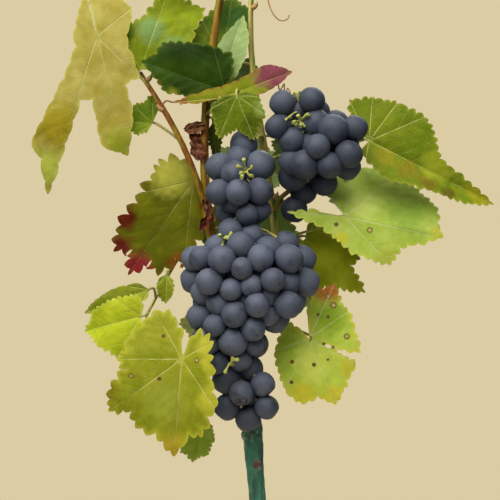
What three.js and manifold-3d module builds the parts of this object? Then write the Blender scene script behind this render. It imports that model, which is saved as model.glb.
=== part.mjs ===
// A young grafted grapevine in fruit, in millimetres, +Z up and +X to the right as seen from -Y.
// The origin is the middle of the flat cut under the stem, at ground level.
import * as THREE from "three";
import { mergeVertices } from "three/addons/utils/BufferGeometryUtils.js";
import Module from "manifold-3d";

const wasm = await Module();
wasm.setup();

// ---- driving dimensions ----
const GRAPE = 16; // diameter of an ordinary grape
const STEM = 11.2; // diameter of the waxed stem above its foot
const CANE = 5; // diameter of the brown cane
const STALK = 1.8; // diameter of a leaf stalk
const BLADE = 1; // thickness of a leaf's solid
const GAP = 0.35; // clearance between two pieces that touch

const LIMB_SIDES = 8;
const STALK_SIDES = 5;
const BENDS = 12; // points that give a limb its bows
// Swellings: how much thicker, and their half length as a share of the limb.
const KNOT = [0.28, 0.018];
const FOOT_FLARE = [0.75, 0.08];
const GRAFT_SWELLING = [0.27, 0.1];
const STALK_TAPER = [0.8, 1, 1, 1.3]; // from the blade to the limb, as shares of the stalk
const ARCH_SPAN = 0.7; // half a blade's width as a share of its length
const BASE_REACH = 0.45; // the rim's ends beside the stalk, as a share of the lobe next to them
const WIDE_BAY = 60; // degrees between lobes above which their bay has two points
const NARROW_BAY = 12; // degrees below which it has none
const FULLNESS = 3; // how square the lumps of a bunch are: 2 is an ellipse
const BUMP_SPACING = 1.2; // between bumps around a bunch, in grapes
const BUMP_HEIGHT = 0.2; // in grapes
const BUMP_HEIGHT_MOST = 0.3; // as a share of the bunch's half depth
const BUNCH_END = 0.125; // how far a bunch's ends bulge, in grapes

const point = (p) => new THREE.Vector3(...p);
const lerp = THREE.MathUtils.lerp;
const radians = THREE.MathUtils.degToRad;
const count = (n) => [...Array(n).keys()];

// ---- solids ----
function solidOf(geometry) {
  const merged = mergeVertices(geometry, 1e-4);
  return new wasm.Manifold(new wasm.Mesh({
    numProp: 3,
    vertProperties: merged.getAttribute("position").array,
    triVerts: new Uint32Array(merged.index.array),
  }));
}

// The largest whole piece of a solid: a cut can leave a sliver on its far side.
function geometryOf(solid) {
  const pieces = solid.decompose().sort((a, b) => b.volume() - a.volume());
  const mesh = pieces[0].getMesh();
  const geometry = new THREE.BufferGeometry();
  geometry.setAttribute("position", new THREE.BufferAttribute(mesh.vertProperties, 3));
  geometry.setIndex(new THREE.BufferAttribute(mesh.triVerts, 1));
  return geometry;
}

function indexed(vertices, faces) {
  const places = vertices.flatMap((v) => v.toArray());
  const geometry = new THREE.BufferGeometry();
  geometry.setAttribute("position", new THREE.Float32BufferAttribute(places, 3));
  geometry.setIndex(faces.flat());
  return geometry;
}

// Rings of points, one after another, joined into a closed skin with a point at each end. The quads'
// diagonals meet at every second point of every second ring, where a bunch has its bumps.
function skin(rings, first, last) {
  const sides = rings[0].length;
  const vertices = [...rings.flat(), first, last];
  const end = (rings.length - 1) * sides;
  const faces = [];
  for (const side of count(sides)) {
    const next = (side + 1) % sides;
    for (const ring of count(rings.length - 1)) {
      const [here, there] = [ring * sides, (ring + 1) * sides];
      const quad = [here + side, here + next, there + next, there + side];
      if ((side + Math.floor(ring / 2)) % 2 === 1) quad.push(quad.shift());
      faces.push([quad[0], quad[1], quad[2]], [quad[0], quad[2], quad[3]]);
    }
    faces.push([next, side, vertices.length - 2], [end + side, end + next, vertices.length - 1]);
  }
  return indexed(vertices, faces);
}

// ---- limbs: a tapering round sweep along a path, with swellings ----
// The path of a limb that bows on its way from foot to tip. A bow is [share of the way where it is
// fullest, x, y, z].
function bowed(foot, tip, ...bows) {
  return count(BENDS + 1).map((i) => {
    const share = i / BENDS;
    const place = foot.clone().lerp(point(tip), share);
    for (const [peak, ...aside] of bows) {
      const swing = Math.sin(Math.PI * share ** (Math.log(0.5) / Math.log(peak)));
      place.addScaledVector(point(aside), swing);
    }
    return place;
  });
}

// A swelling is [share of the way where it is fullest, [extra, half length]].
class Limb {
  constructor({ path, thick, swellings = [], steps = 12, sides = LIMB_SIDES, standing = false }) {
    this.curve = new THREE.CatmullRomCurve3(path, false, "centripetal");
    Object.assign(this, { thick, swellings, steps, sides, standing });
  }

  radius(share) {
    const last = this.thick.length - 1;
    const low = Math.min(Math.floor(share * last), last - 1);
    const plain = lerp(this.thick[low], this.thick[low + 1], share * last - low) / 2;
    const extra = ([middle, [swell, half]]) => swell * Math.exp(-(((share - middle) / half) ** 2));
    return plain * (1 + this.swellings.reduce((sum, swelling) => sum + extra(swelling), 0));
  }

  // The point of the centre line that lies nearest to a height.
  at(height) {
    const points = count(201).map((i) => this.curve.getPointAt(i / 200));
    return points.reduce((a, b) => (Math.abs(b.z - height) < Math.abs(a.z - height) ? b : a));
  }

  shares() {
    const even = count(this.steps + 1).map((i) => i / this.steps);
    const near = this.swellings.flatMap(([middle, [, half]]) => [middle - half, middle, middle + half]);
    const inside = near.filter((share) => share > 0 && share < 1);
    const free = (share) => inside.every((other) => Math.abs(share - other) > KNOT[1] / 2);
    const apart = even.filter((share) => share === 0 || share === 1 || free(share));
    return [...apart, ...inside].sort((a, b) => a - b);
  }

  solid(extra = 0) {
    let across = new THREE.Vector3(0, 1, 0);
    const shares = this.shares();
    const rings = shares.map((share) => {
      const centre = this.curve.getPointAt(share);
      const along = this.curve.getTangentAt(share);
      if (this.standing && share === 0) along.set(0, 0, 1);
      across = across.clone().addScaledVector(along, -across.dot(along)).normalize();
      const other = along.clone().cross(across);
      const radius = this.radius(share) + extra;
      return count(this.sides).map((side) => {
        const angle = (2 * Math.PI * side) / this.sides;
        return centre.clone().addScaledVector(across, radius * Math.cos(angle))
          .addScaledVector(other, radius * Math.sin(angle));
      });
    });
    return solidOf(skin(rings, this.curve.getPointAt(0), this.curve.getPointAt(1)));
  }
}

// ---- leaves ----
// A lobed blade: its lobes are [degrees from the midrib, length], counted anticlockwise as seen from
// the upper face. It folds along its midrib, arches across, and curls down towards its tip.
class Leaf {
  constructor(leaf) {
    const plain = { lean: 0, roll: 0, bays: 0.16, fold: [12, 12], curl: 20, cup: 25, via: [], close: 24 };
    Object.assign(this, plain, leaf);
    this.length = Math.max(...this.lobes.map((lobe) => lobe[1]));
    const [heading, lean] = [radians(this.heading), radians(this.lean)];
    const level = Math.cos(lean);
    this.along = new THREE.Vector3(level * Math.cos(heading), -Math.sin(lean), level * Math.sin(heading));
    this.up = new THREE.Vector3(0, -1, 0).addScaledVector(this.along, this.along.y).normalize();
    this.up.applyAxisAngle(this.along, radians(this.roll));
    this.side = this.up.clone().cross(this.along);
    this.root = point(this.at);
  }

  place(along, across, above = 0) {
    const start = radians(across >= 0 ? this.fold[1] : this.fold[0]);
    const bend = -radians(this.cup) / (ARCH_SPAN * this.length);
    const turned = start + bend * Math.abs(across);
    const out = (Math.sin(turned) - Math.sin(start)) / bend;
    const rise = (Math.cos(start) - Math.cos(turned)) / bend + above;
    const droop = -radians(this.curl) / this.length;
    const angle = droop * along;
    return this.root.clone()
      .addScaledVector(this.along, Math.sin(angle) / droop - rise * Math.sin(angle))
      .addScaledVector(this.side, Math.sign(across) * out)
      .addScaledVector(this.up, (1 - Math.cos(angle)) / droop + rise * Math.cos(angle));
  }

  // The rim's points: every lobe's tip, the bays between them, and the two ends at the stalk.
  rim() {
    const [first, last] = [this.lobes[0], this.lobes[this.lobes.length - 1]];
    const rim = [[first[0] - this.close, first[1] * BASE_REACH], first];
    for (const i of count(this.lobes.length - 1)) {
      const [a, b] = [this.lobes[i], this.lobes[i + 1]];
      const bay = Array.isArray(this.bays) ? this.bays[i] : this.bays;
      const gap = b[0] - a[0];
      const between = gap > WIDE_BAY ? [0.35, 0.65] : gap > NARROW_BAY ? [0.5] : [];
      for (const t of between) {
        const depth = 1 - bay * Math.sin(Math.PI * t) ** 2;
        rim.push([lerp(a[0], b[0], t), lerp(a[1], b[1], t) * depth]);
      }
      rim.push(b);
    }
    return [...rim, [last[0] + this.close, last[1] * BASE_REACH]];
  }

  blade() {
    const rim = this.rim();
    const layer = 1 + 2 * rim.length;
    const vertices = [];
    for (const above of [BLADE / 2, -BLADE / 2]) {
      vertices.push(this.place(0, 0, above));
      for (const share of [0.5, 1]) {
        for (const [degrees, reach] of rim) {
          const angle = radians(degrees);
          vertices.push(this.place(share * reach * Math.cos(angle), share * reach * Math.sin(angle), above));
        }
      }
    }
    const inner = (ray, under = 0) => under * layer + 1 + ray;
    const outer = (ray, under = 0) => under * layer + 1 + rim.length + ray;
    const last = rim.length - 1;
    const faces = [];
    const quad = (a, b, c, d) => faces.push([a, b, c], [a, c, d]);
    for (const ray of count(last)) {
      faces.push([0, inner(ray), inner(ray + 1)], [layer, inner(ray + 1, 1), inner(ray, 1)]);
      quad(inner(ray), outer(ray), outer(ray + 1), inner(ray + 1));
      quad(inner(ray, 1), inner(ray + 1, 1), outer(ray + 1, 1), outer(ray, 1));
      quad(outer(ray), outer(ray, 1), outer(ray + 1, 1), outer(ray + 1));
    }
    quad(0, layer, inner(0, 1), inner(0));
    quad(inner(0), inner(0, 1), outer(0, 1), outer(0));
    quad(0, inner(last), inner(last, 1), layer);
    quad(inner(last), outer(last), outer(last, 1), inner(last, 1));
    return indexed(vertices, faces);
  }

  // The stalk runs from under the blade's base to the middle of the limb that carries it.
  stalk(carrier) {
    const start = [this.place(2, 0, -0.5), this.place(-2.5, 0, -1.2)];
    return new Limb({
      path: [...start, ...this.via.map(point), carrier.at(this.grows[1])],
      thick: STALK_TAPER.map((share) => share * STALK),
      steps: 3 + 2 * this.via.length,
      sides: STALK_SIDES,
    });
  }

  solid(carrier) {
    return solidOf(this.blade()).add(this.stalk(carrier).solid()).subtract(carrier.solid(GAP));
  }
}

// A leaf with the ordinary five lobes, for those that need no shape of their own.
const OPEN_HAND = [[-148, 0.5], [-106, 0.66], [-52, 0.86], [0, 1], [52, 0.86], [106, 0.66], [148, 0.5]];
const ordinary = (length) => OPEN_HAND.map(([degrees, share]) => [degrees, share * length]);

// ---- bunch: a closed mass of a few lumps, with a bump for each grape on its outside ----
// A lump is { middle, half: [width, depth, height] }. A section of the bunch spans all its lumps there.
function bunch(lumps) {
  const ends = (side) => lumps.map(({ middle, half }) => middle[2] + side * half[2]);
  const [bottom, top] = [Math.min(...ends(-1)) + BUNCH_END * GRAPE, Math.max(...ends(1)) - BUNCH_END * GRAPE];
  const rowAt = (z) => {
    const spans = lumps.flatMap(({ middle, half }) => {
      const share = Math.abs(z - middle[2]) / half[2];
      if (share >= 1) return [];
      const size = (1 - share ** FULLNESS) ** (1 / FULLNESS);
      return [[0, 1].map((k) => [middle[k] - half[k] * size, middle[k] + half[k] * size])];
    });
    const [[left, right], [front, back]] = [0, 1].map((k) =>
      [Math.min(...spans.map((span) => span[k][0])), Math.max(...spans.map((span) => span[k][1]))]);
    return [z, (left + right) / 2, (front + back) / 2, (right - left) / 2, (back - front) / 2];
  };
  const fullest = Math.max(...lumps.map(({ half }) => half[0] + half[1]));
  const sides = 2 * Math.round((Math.PI * fullest) / (BUMP_SPACING * GRAPE));
  const layers = 2 * Math.round((top - bottom) / GRAPE);
  const rings = count(layers + 1).map((layer) => {
    const [z, x, y, wide, deep] = rowAt(bottom + ((top - bottom) * layer) / layers);
    return count(sides).map((side) => {
      const bump = layer % 2 === 0 && side % 2 === (layer / 2) % 2;
      const inset = bump ? 0 : Math.min(BUMP_HEIGHT * GRAPE, BUMP_HEIGHT_MOST * deep);
      const angle = (2 * Math.PI * side) / sides;
      return new THREE.Vector3(x + (wide - inset) * Math.cos(angle), y + (deep - inset) * Math.sin(angle), z);
    });
  });
  const end = (z, side) => {
    const [, x, y] = rowAt(z);
    return new THREE.Vector3(x, y, z + side * BUNCH_END * GRAPE);
  };
  return solidOf(skin(rings, end(bottom, -1), end(top, 1)));
}

// ---- the vine ----
const FORK = point([-10, 2, 158]); // where the stem divides into its two canes
const trunk = new Limb({
  path: bowed(point([0, 0, 0]), [-10, 2, 160], [0.6, -2, -1, 0]),
  thick: [STEM, 0.8 * STEM],
  swellings: [[0, FOOT_FLARE], [0.62, GRAFT_SWELLING]],
  steps: 14,
  standing: true,
});
const cane_main = new Limb({
  path: bowed(FORK, [-20, 4, 418], [0.4, -24, -2, 0]),
  thick: [1.3 * CANE, 1.05 * CANE, CANE, 0.5 * CANE],
  swellings: [[0.31, KNOT], [0.6, KNOT], [0.83, KNOT]],
});
const cane_green = new Limb({
  path: bowed(FORK, [-5, 3, 404], [0.22, 17, 1, 0], [0.7, -10, -2, 0]),
  thick: [1.1 * CANE, 0.9 * CANE, 0.8 * CANE, 0.4 * CANE],
  swellings: [[0.5, KNOT], [0.87, KNOT]],
});
const cane_left = new Limb({
  path: bowed(cane_main.at(237), [-77, -6, 323], [0.5, 5, -4, 0]),
  thick: [0.8 * CANE, 0.7 * CANE, 0.55 * CANE],
  swellings: [[0.68, KNOT]],
});
const side_shoot = new Limb({
  path: bowed(cane_main.at(236), [-73, -14, 175], [0.35, -4, 28, 0]),
  thick: [0.55 * CANE, 0.3 * CANE],
  steps: 8,
  sides: 6,
});
const bunch_stalk = new Limb({
  path: bowed(cane_green.at(283), [-11, -26, 270], [0.45, 1, -1, 7]),
  thick: [0.6 * CANE, 0.5 * CANE],
  steps: 6,
  sides: 6,
});
const wing_stalk = new Limb({
  path: bowed(cane_green.at(239), [20, -32, 265], [0.5, 0, -2, -1]),
  thick: [0.55 * CANE, 0.45 * CANE],
  steps: 6,
  sides: 6,
});
const limbs = { trunk, cane_main, cane_left, cane_green, side_shoot, bunch_stalk, wing_stalk };

const bunches = {
  bunch_body: bunch([
    { middle: [-10, -32, 197], half: [41, 26, 32] },
    { middle: [-20, -29, 170], half: [30, 22, 22] },
    { middle: [-15, -25, 130], half: [22, 18, 28] },
  ]),
  bunch_shoulder: bunch([
    { middle: [-16, -30, 252], half: [19, 19, 23] },
    { middle: [-14, -21, 274], half: [11, 10, 12] },
  ]),
  bunch_wing: bunch([
    { middle: [19, -33, 292], half: [18, 18, 16] },
    { middle: [31, -37, 276], half: [29, 19, 22] },
    { middle: [18, -14, 247], half: [13, 9, 14] },
  ]),
};

const leaves = {
  leaf_top_left: {
    at: [-103, -14, 345], heading: -78, grows: ["cane_left", 321], color: 0xa9a44f,
    lobes: [
      [-173, 28], [-100, 14], [-50, 32], [-44, 77], [-30, 102], [-28, 40], [-16, 38], [-10, 66], [2, 75],
      [12, 52], [18, 34], [34, 36], [80, 18], [116, 27], [173, 32],
    ],
    bays: [0.1, 0, 0, 0.08, 0, 0.05, 0, 0, 0, 0, 0.05, 0.05, 0.05, 0.1],
    close: 2, curl: 14, fold: [8, 8], cup: 20, lean: -4,
    via: [[-101, -9, 347], [-96, -5, 336], [-86, -3, 326]],
  },
  leaf_crumpled: {
    at: [-77, -9, 325], heading: 55, grows: ["cane_left", 315], color: 0x8a9a20,
    lobes: [[-25, 36], [-10, 56], [16, 60], [28, 34], [60, 30], [85, 20]], bays: 0.12, close: 30,
    fold: [10, 10], curl: 25,
  },
  leaf_little: {
    at: [-70, 0, 293], heading: 175, grows: ["cane_left", 283], color: 0x7a9a28,
    lobes: [[-85, 18], [-40, 16], [0, 21], [40, 12]], bays: 0.2,
  },
  leaf_dark: {
    at: [-25, -14, 311], heading: 160, grows: ["cane_main", 304], color: 0x3c5a14,
    lobes: [[-80, 24], [-55, 28], [-18, 48], [0, 54], [20, 36]], bays: 0.08, close: 12,
    fold: [6, 6], curl: 12, lean: 8,
  },
  leaf_mauve_tip: {
    at: [-27, -20, 307], heading: 20, grows: ["cane_main", 299], color: 0x9a8a3c,
    lobes: [[-150, 8], [-15, 22], [0, 45], [16, 33], [26, 14], [165, 30]], bays: [0.1, 0, 0, 0, 0.85],
    close: 8, fold: [4, 4], curl: 8, cup: 8, lean: 6,
  },
  leaf_folded: {
    at: [-28, -8, 316], heading: 72, grows: ["cane_main", 308], color: 0x869a4c,
    lobes: [[-25, 22], [0, 46], [10, 33], [24, 22]], bays: 0, close: 22, curl: 10, cup: 8, lean: -3,
  },
  leaf_behind_cane: {
    at: [-27, 9, 333], heading: 82, grows: ["cane_main", 325], color: 0x5a7a1e,
    lobes: [[-55, 15], [-20, 38], [0, 45], [35, 28], [60, 25], [85, 15]], bays: 0.12, lean: -6,
  },
  leaf_hanging: {
    at: [-18, -36, 307], heading: -88, grows: ["cane_green", 292], color: 0x748c22,
    lobes: [[-65, 17], [-25, 27], [20, 28], [55, 20], [85, 12]], bays: [0.1, 0.28, 0.1, 0.1], lean: 4,
    via: [[-17, -30, 310], [-14, -27, 300]],
  },
  leaf_sliver: {
    at: [-33, 5, 294], heading: -85, grows: ["cane_main", 296], color: 0x3a4e14,
    lobes: [[-15, 12], [0, 22], [20, 12]], bays: 0, cup: 10,
  },
  leaf_crimson: {
    at: [-45, 6, 258], heading: -125, grows: ["cane_left", 262], color: 0x76741a,
    lobes: [
      [-110, 15], [-68, 24], [-42, 30], [-24, 52], [-14, 64], [0, 70], [14, 62], [28, 50], [60, 16],
    ],
    bays: [0, 0.05, 0.1, 0, 0.15, 0.15, 0.12, 0.1], fold: [14, -4], cup: 14, lean: 4,
  },
  leaf_drooping: {
    at: [-63, -17, 200], heading: -92, grows: ["side_shoot", 198], color: 0x9aa82c,
    lobes: [[-40, 9], [0, 18], [30, 9]], bays: 0, cup: 10,
  },
  leaf_edgewise: {
    at: [-71, -17, 191], heading: -160, grows: ["side_shoot", 186], color: 0xa0ac2c,
    lobes: [[-30, 14], [-15, 27], [0, 42], [40, 8]], bays: 0, cup: 8, curl: 10,
  },
  leaf_lime: {
    at: [-76, -19, 175], heading: -165, grows: ["side_shoot", 176], color: 0xb4c23a,
    lobes: [[-100, 12], [-50, 18], [-20, 30], [0, 36], [20, 32], [45, 29], [70, 16]], bays: 0.08,
  },
  leaf_front: {
    at: [-50, -46, 151], heading: -92, grows: ["trunk", 140], color: 0x9aa02a,
    lobes: [
      [-165, 26], [-148, 32], [-105, 35], [-88, 38], [-65, 46], [-52, 54], [-32, 48], [-3, 57], [20, 45],
      [42, 35], [85, 19], [115, 22], [145, 20],
    ],
    bays: [0, 0.05, 0.05, 0.15, 0, 0.12, 0.08, 0.1, 0.05, 0.15, 0.1, 0.05], close: 12, fold: [6, 36],
    curl: 22, lean: 5,
    via: [[-53, -36, 150], [-52, -16, 146], [-40, -3, 142]],
  },
  leaf_low: {
    at: [-38, -12, 112], heading: -105, grows: ["trunk", 121], color: 0x5c7c36,
    lobes: [[-50, 15], [-20, 25], [0, 28], [20, 22], [45, 12]], bays: 0.1, via: [[-30, -4, 116]],
  },
  leaf_gold_fold: {
    at: [62, -17, 281], heading: -27, grows: ["cane_green", 270], color: 0x7d9416,
    lobes: [[-75, 14], [-18, 44], [-7, 70], [0, 84], [25, 40], [50, 36], [80, 28], [112, 26], [142, 27]],
    bays: [0.05, 0, 0, 0.3, 0, 0.05, 0.05, 0.05], fold: [40, 10], curl: 12, lean: 6,
    via: [[54, -8, 281], [20, -4, 276]],
  },
  leaf_pale: {
    at: [47, -27, 235], heading: -10, grows: ["cane_green", 222], color: 0x97b446,
    lobes: [[-175, 34], [-145, 14], [-90, 15], [-37, 39], [-2, 60], [18, 60], [55, 50], [92, 38], [128, 25]],
    bays: [0.2, 0.1, 0.15, 0.25, 0.04, 0.04, 0.04, 0.1], close: 6, fold: [4, -34], cup: 6, curl: 14, lean: 2,
    via: [[38, -23, 231], [20, -2, 225]],
  },
  leaf_olive: {
    at: [24, -2, 222], heading: -42, grows: ["cane_green", 214], color: 0x6e7a14,
    lobes: [[-75, 20], [-35, 30], [0, 49], [22, 35], [60, 24], [100, 16]], bays: [0.05, 0.15, 0.25, 0.1, 0.1],
    curl: 10, lean: 2,
  },
  leaf_spotted: {
    at: [26, -12, 161], heading: -80, grows: ["cane_green", 174], color: 0x8ca83c,
    lobes: [
      [-135, 16], [-80, 22], [-35, 34], [-15, 40], [12, 43], [52, 32], [58, 10], [65, 32], [115, 29],
      [145, 37], [162, 32],
    ],
    bays: [0.05, 0.05, 0, 0.12, 0.05, 0, 0, 0.05, 0.1, 0.08], close: 12, fold: [8, 10], lean: 4,
  },
  leaf_top_a: {
    at: [-36, 0, 398], heading: 150, lean: 20, grows: ["cane_main", 390], color: 0x7c9a2c,
    lobes: ordinary(40), bays: 0.22, roll: 15,
  },
  leaf_top_b: {
    at: [-12, 14, 424], heading: 54, lean: -20, grows: ["cane_main", 415], color: 0x86a02c,
    lobes: ordinary(26), bays: 0.22,
  },
  leaf_top_c: {
    at: [-25, -6, 424], heading: 105, lean: 15, grows: ["cane_main", 417], color: 0xa2b040,
    lobes: ordinary(20), bays: 0.2,
  },
  leaf_top_d: {
    at: [6, -6, 398], heading: 2, lean: 22, grows: ["cane_green", 392], color: 0x8ca436,
    lobes: ordinary(34), bays: 0.22,
  },
  leaf_back_upper: {
    at: [-24, 32, 336], heading: -160, lean: -35, roll: 180, grows: ["cane_green", 330], color: 0x5e7c1e,
    lobes: ordinary(44), bays: 0.22,
  },
  leaf_back_wing: {
    at: [22, 16, 284], heading: -30, lean: -30, roll: 180, grows: ["cane_green", 284], color: 0x688420,
    lobes: ordinary(40), bays: 0.22,
  },
  leaf_back_shoulder: {
    at: [-12, 22, 262], heading: 75, lean: -42, roll: 170, grows: ["cane_green", 256], color: 0x6a8a20,
    lobes: ordinary(34), bays: 0.22,
  },
  leaf_back_right: {
    at: [14, 18, 200], heading: -50, lean: -48, roll: 190, grows: ["cane_green", 204], color: 0x7e9a28,
    lobes: ordinary(36), bays: 0.22,
  },
  leaf_back_left: {
    at: [-37, 13, 206], heading: 172, lean: -74, grows: ["cane_main", 206], color: 0x6c8c24,
    lobes: ordinary(25), bays: 0.22,
  },
  leaf_back_middle: {
    at: [-14, 26, 232], heading: -70, lean: -20, roll: 180, grows: ["cane_main", 226], color: 0x74901e,
    lobes: ordinary(46), bays: 0.22,
  },
  leaf_back_low: {
    at: [-26, 20, 172], heading: -120, lean: -25, roll: 180, grows: ["cane_main", 170], color: 0x86962a,
    lobes: ordinary(34), bays: 0.22,
  },
};

// ---- assembly ----
const LOOKS = {
  trunk: { color: 0x1e5540, roughness: 0.45 },
  cane_main: { color: 0xa0683a, roughness: 0.6 },
  cane_left: { color: 0x9a6234, roughness: 0.6 },
  cane_green: { color: 0xa0a048, roughness: 0.5 },
  side_shoot: { color: 0x8e9a3c, roughness: 0.5 },
  bunch_stalk: { color: 0x9aa050, roughness: 0.6 },
  wing_stalk: { color: 0x8a5c48, roughness: 0.6 },
};
const CARRIERS = {
  cane_main: "trunk", cane_left: "cane_main", cane_green: "trunk", side_shoot: "cane_main",
  bunch_stalk: "cane_green", wing_stalk: "cane_green",
};

const vine = new THREE.Group();
function add(name, solid, look) {
  const material = new THREE.MeshStandardMaterial({ metalness: 0, ...look });
  const mesh = new THREE.Mesh(geometryOf(solid), material);
  mesh.name = name;
  vine.add(mesh);
}

for (const [name, limb] of Object.entries(limbs)) {
  let solid = limb.solid();
  if (CARRIERS[name]) solid = solid.subtract(limbs[CARRIERS[name]].solid(GAP));
  if (name === "cane_green") solid = solid.subtract(limbs.cane_main.solid(GAP));
  if (name === "side_shoot") solid = solid.subtract(limbs.cane_left.solid(GAP));
  if (name === "bunch_stalk") solid = solid.subtract(bunches.bunch_shoulder);
  if (name === "wing_stalk") solid = solid.subtract(bunches.bunch_wing);
  add(name, solid, LOOKS[name]);
}
for (const [name, solid] of Object.entries(bunches)) add(name, solid, { color: 0x50566a, roughness: 0.7 });
for (const [name, row] of Object.entries(leaves)) {
  const { color, ...shape } = row;
  add(name, new Leaf(shape).solid(limbs[row.grows[0]]), { color, roughness: 0.65 });
}

export default vine;
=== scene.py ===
import math
import random

import bmesh
import bpy
import numpy
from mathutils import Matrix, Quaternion, Vector, geometry, kdtree, noise
from mathutils.bvhtree import BVHTree


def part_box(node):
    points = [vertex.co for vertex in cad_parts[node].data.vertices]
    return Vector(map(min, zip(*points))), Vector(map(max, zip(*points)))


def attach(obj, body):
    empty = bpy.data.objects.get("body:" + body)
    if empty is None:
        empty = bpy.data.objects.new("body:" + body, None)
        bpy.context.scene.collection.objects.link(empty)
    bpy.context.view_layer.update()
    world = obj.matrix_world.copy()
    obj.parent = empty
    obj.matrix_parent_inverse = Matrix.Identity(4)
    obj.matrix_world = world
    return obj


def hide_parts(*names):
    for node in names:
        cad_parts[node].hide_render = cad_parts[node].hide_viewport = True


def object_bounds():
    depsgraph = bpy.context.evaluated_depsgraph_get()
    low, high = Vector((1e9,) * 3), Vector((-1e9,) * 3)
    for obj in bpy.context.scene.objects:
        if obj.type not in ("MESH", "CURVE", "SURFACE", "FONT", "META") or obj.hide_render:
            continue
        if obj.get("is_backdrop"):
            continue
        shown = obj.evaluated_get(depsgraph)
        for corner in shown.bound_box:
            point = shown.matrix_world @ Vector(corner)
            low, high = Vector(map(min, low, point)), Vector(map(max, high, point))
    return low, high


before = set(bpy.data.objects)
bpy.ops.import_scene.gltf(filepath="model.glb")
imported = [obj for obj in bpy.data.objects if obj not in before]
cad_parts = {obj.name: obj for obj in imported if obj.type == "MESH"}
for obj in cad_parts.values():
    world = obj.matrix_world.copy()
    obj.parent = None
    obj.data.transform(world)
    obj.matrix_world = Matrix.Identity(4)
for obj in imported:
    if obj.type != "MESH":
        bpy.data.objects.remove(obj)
cad_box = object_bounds()

# ---- the waxed stem ----
# The rootstock with the fruiting vine grafted on at the swelling. The nursery dipped this part in
# blue-green wax, which ran and scuffed over the bark. The rootstock's own bud was cut out in front
# and left a brown scar, and the wax stands up in a rough lip where the graft was tied.
MM = 0.001
MERGE = 1e-6  # corners of a CAD solid nearer than this are one
WAX_DEEP, WAX_BRIGHT, WAX_CHALK = "103a2c", "286e54", "a4ac94"
GRAFT_GRIME, SCAR_BROWN = "221e18", "5c261c"
SCAR_HEIGHT, GRAFT_HEIGHT = 83 * MM, 102 * MM
SCAR_RIM, SCAR_PIT = 2.7 * MM, 1.7 * MM  # radii of the cut bud's rim and of its pit
SCAR_SIDE = (0.25, -0.97, 0)  # the side of the stem that the cut bud is on
LIP, ROUGH_BAND = 2.2 * MM, 9 * MM  # how far the wax's lip and its rough band run along the stem
FOOT_FLARE = 26 * MM  # how high the uneven foot reaches
STEM_SIDES, CANE_SIDES = 40, 20
SKIN_STEP = 0.8 * MM


def solid_of(node):
    """A CAD node's solid with its corners merged, for whoever takes it to free."""
    solid = bmesh.new()
    solid.from_mesh(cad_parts[node].data)
    bmesh.ops.remove_doubles(solid, verts=solid.verts, dist=MERGE)
    return solid


def middle_line(node, axis, slices, trim=0.03):
    """The middle and the radius of a limb at even slices across an axis, from its low end up."""
    cad = solid_of(node)
    low, high = (corner[axis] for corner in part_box(node))
    line = []
    for step in range(slices + 1):
        level = low + (high - low) * (trim + (1 - 2 * trim) * step / slices)
        cut = []
        for edge in cad.edges:
            a, b = (v.co for v in edge.verts)
            if min(a[axis], b[axis]) <= level < max(a[axis], b[axis]):
                cut.append(a.lerp(b, (level - a[axis]) / (b[axis] - a[axis])))
        spans = [(min(p[k] for p in cut), max(p[k] for p in cut)) for k in range(3)]
        middle = Vector([(least + most) / 2 for least, most in spans])
        radius = min((most - least) / 2 for k, (least, most) in enumerate(spans) if k != axis)
        line.append((middle, radius))
    cad.free()
    for _ in range(2):
        line = [line[0]] + [
            ((a[0] + b[0] * 2 + c[0]) / 4, (a[1] + b[1] * 2 + c[1]) / 4)
            for a, b, c in zip(line, line[1:], line[2:])
        ] + [line[-1]]
    first = line[0][0] + (line[0][0] - line[1][0]) * trim * slices
    last = line[-1][0] + (line[-1][0] - line[-2][0]) * trim * slices
    return [(first, line[0][1]), *line, (last, line[-1][1])]


def skinned(name, line, sides, step, surface):
    """A closed skin round a line. surface(place, out) is how far it stands proud of the round there."""
    lengths = [0]
    for (a, _), (b, _) in zip(line, line[1:]):
        lengths.append(lengths[-1] + (b - a).length)
    rings = max(2, round(lengths[-1] / step))
    vertices, across, leg = [], Vector((0, 1, 0)), 0
    for ring in range(rings + 1):
        run = lengths[-1] * ring / rings
        while leg < len(line) - 2 and lengths[leg + 1] < run:
            leg += 1
        share = (run - lengths[leg]) / (lengths[leg + 1] - lengths[leg])
        middle = line[leg][0].lerp(line[leg + 1][0], share)
        radius = line[leg][1] + (line[leg + 1][1] - line[leg][1]) * share
        along = (line[min(leg + 2, len(line) - 1)][0] - line[max(leg - 1, 0)][0]).normalized()
        if ring == 0 and name == "stem":
            along = Vector((0, 0, 1))
        across = (across - along * across.dot(along)).normalized()
        other = along.cross(across)
        for side in range(sides):
            angle = math.tau * side / sides
            out = across * math.cos(angle) + other * math.sin(angle)
            vertices.append(middle + out * (radius + surface(middle + out * radius, out)))
    faces = []
    for ring in range(rings):
        for side in range(sides):
            here, there = ring * sides + side, ring * sides + (side + 1) % sides
            faces.append((here, there, there + sides, here + sides))
    faces.append(tuple(reversed(range(sides))))
    faces.append(tuple(range(rings * sides, (rings + 1) * sides)))
    mesh = bpy.data.meshes.new(name)
    mesh.from_pydata(vertices, [], faces)
    mesh.shade_smooth()
    mesh.set_sharp_from_angle(angle=math.radians(60))
    return mesh


def shown(name, data):
    """A new object put in the scene."""
    made = bpy.data.objects.new(name, data)
    bpy.context.scene.collection.objects.link(made)
    return made


def mark(mesh, label, values, kind="FLOAT"):
    """Keeps a value for each point of a mesh under a name."""
    data = mesh.attributes.new(label, kind, "POINT").data
    data.foreach_set({"FLOAT": "value", "FLOAT_VECTOR": "vector", "FLOAT_COLOR": "color"}[kind], values)


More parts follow.
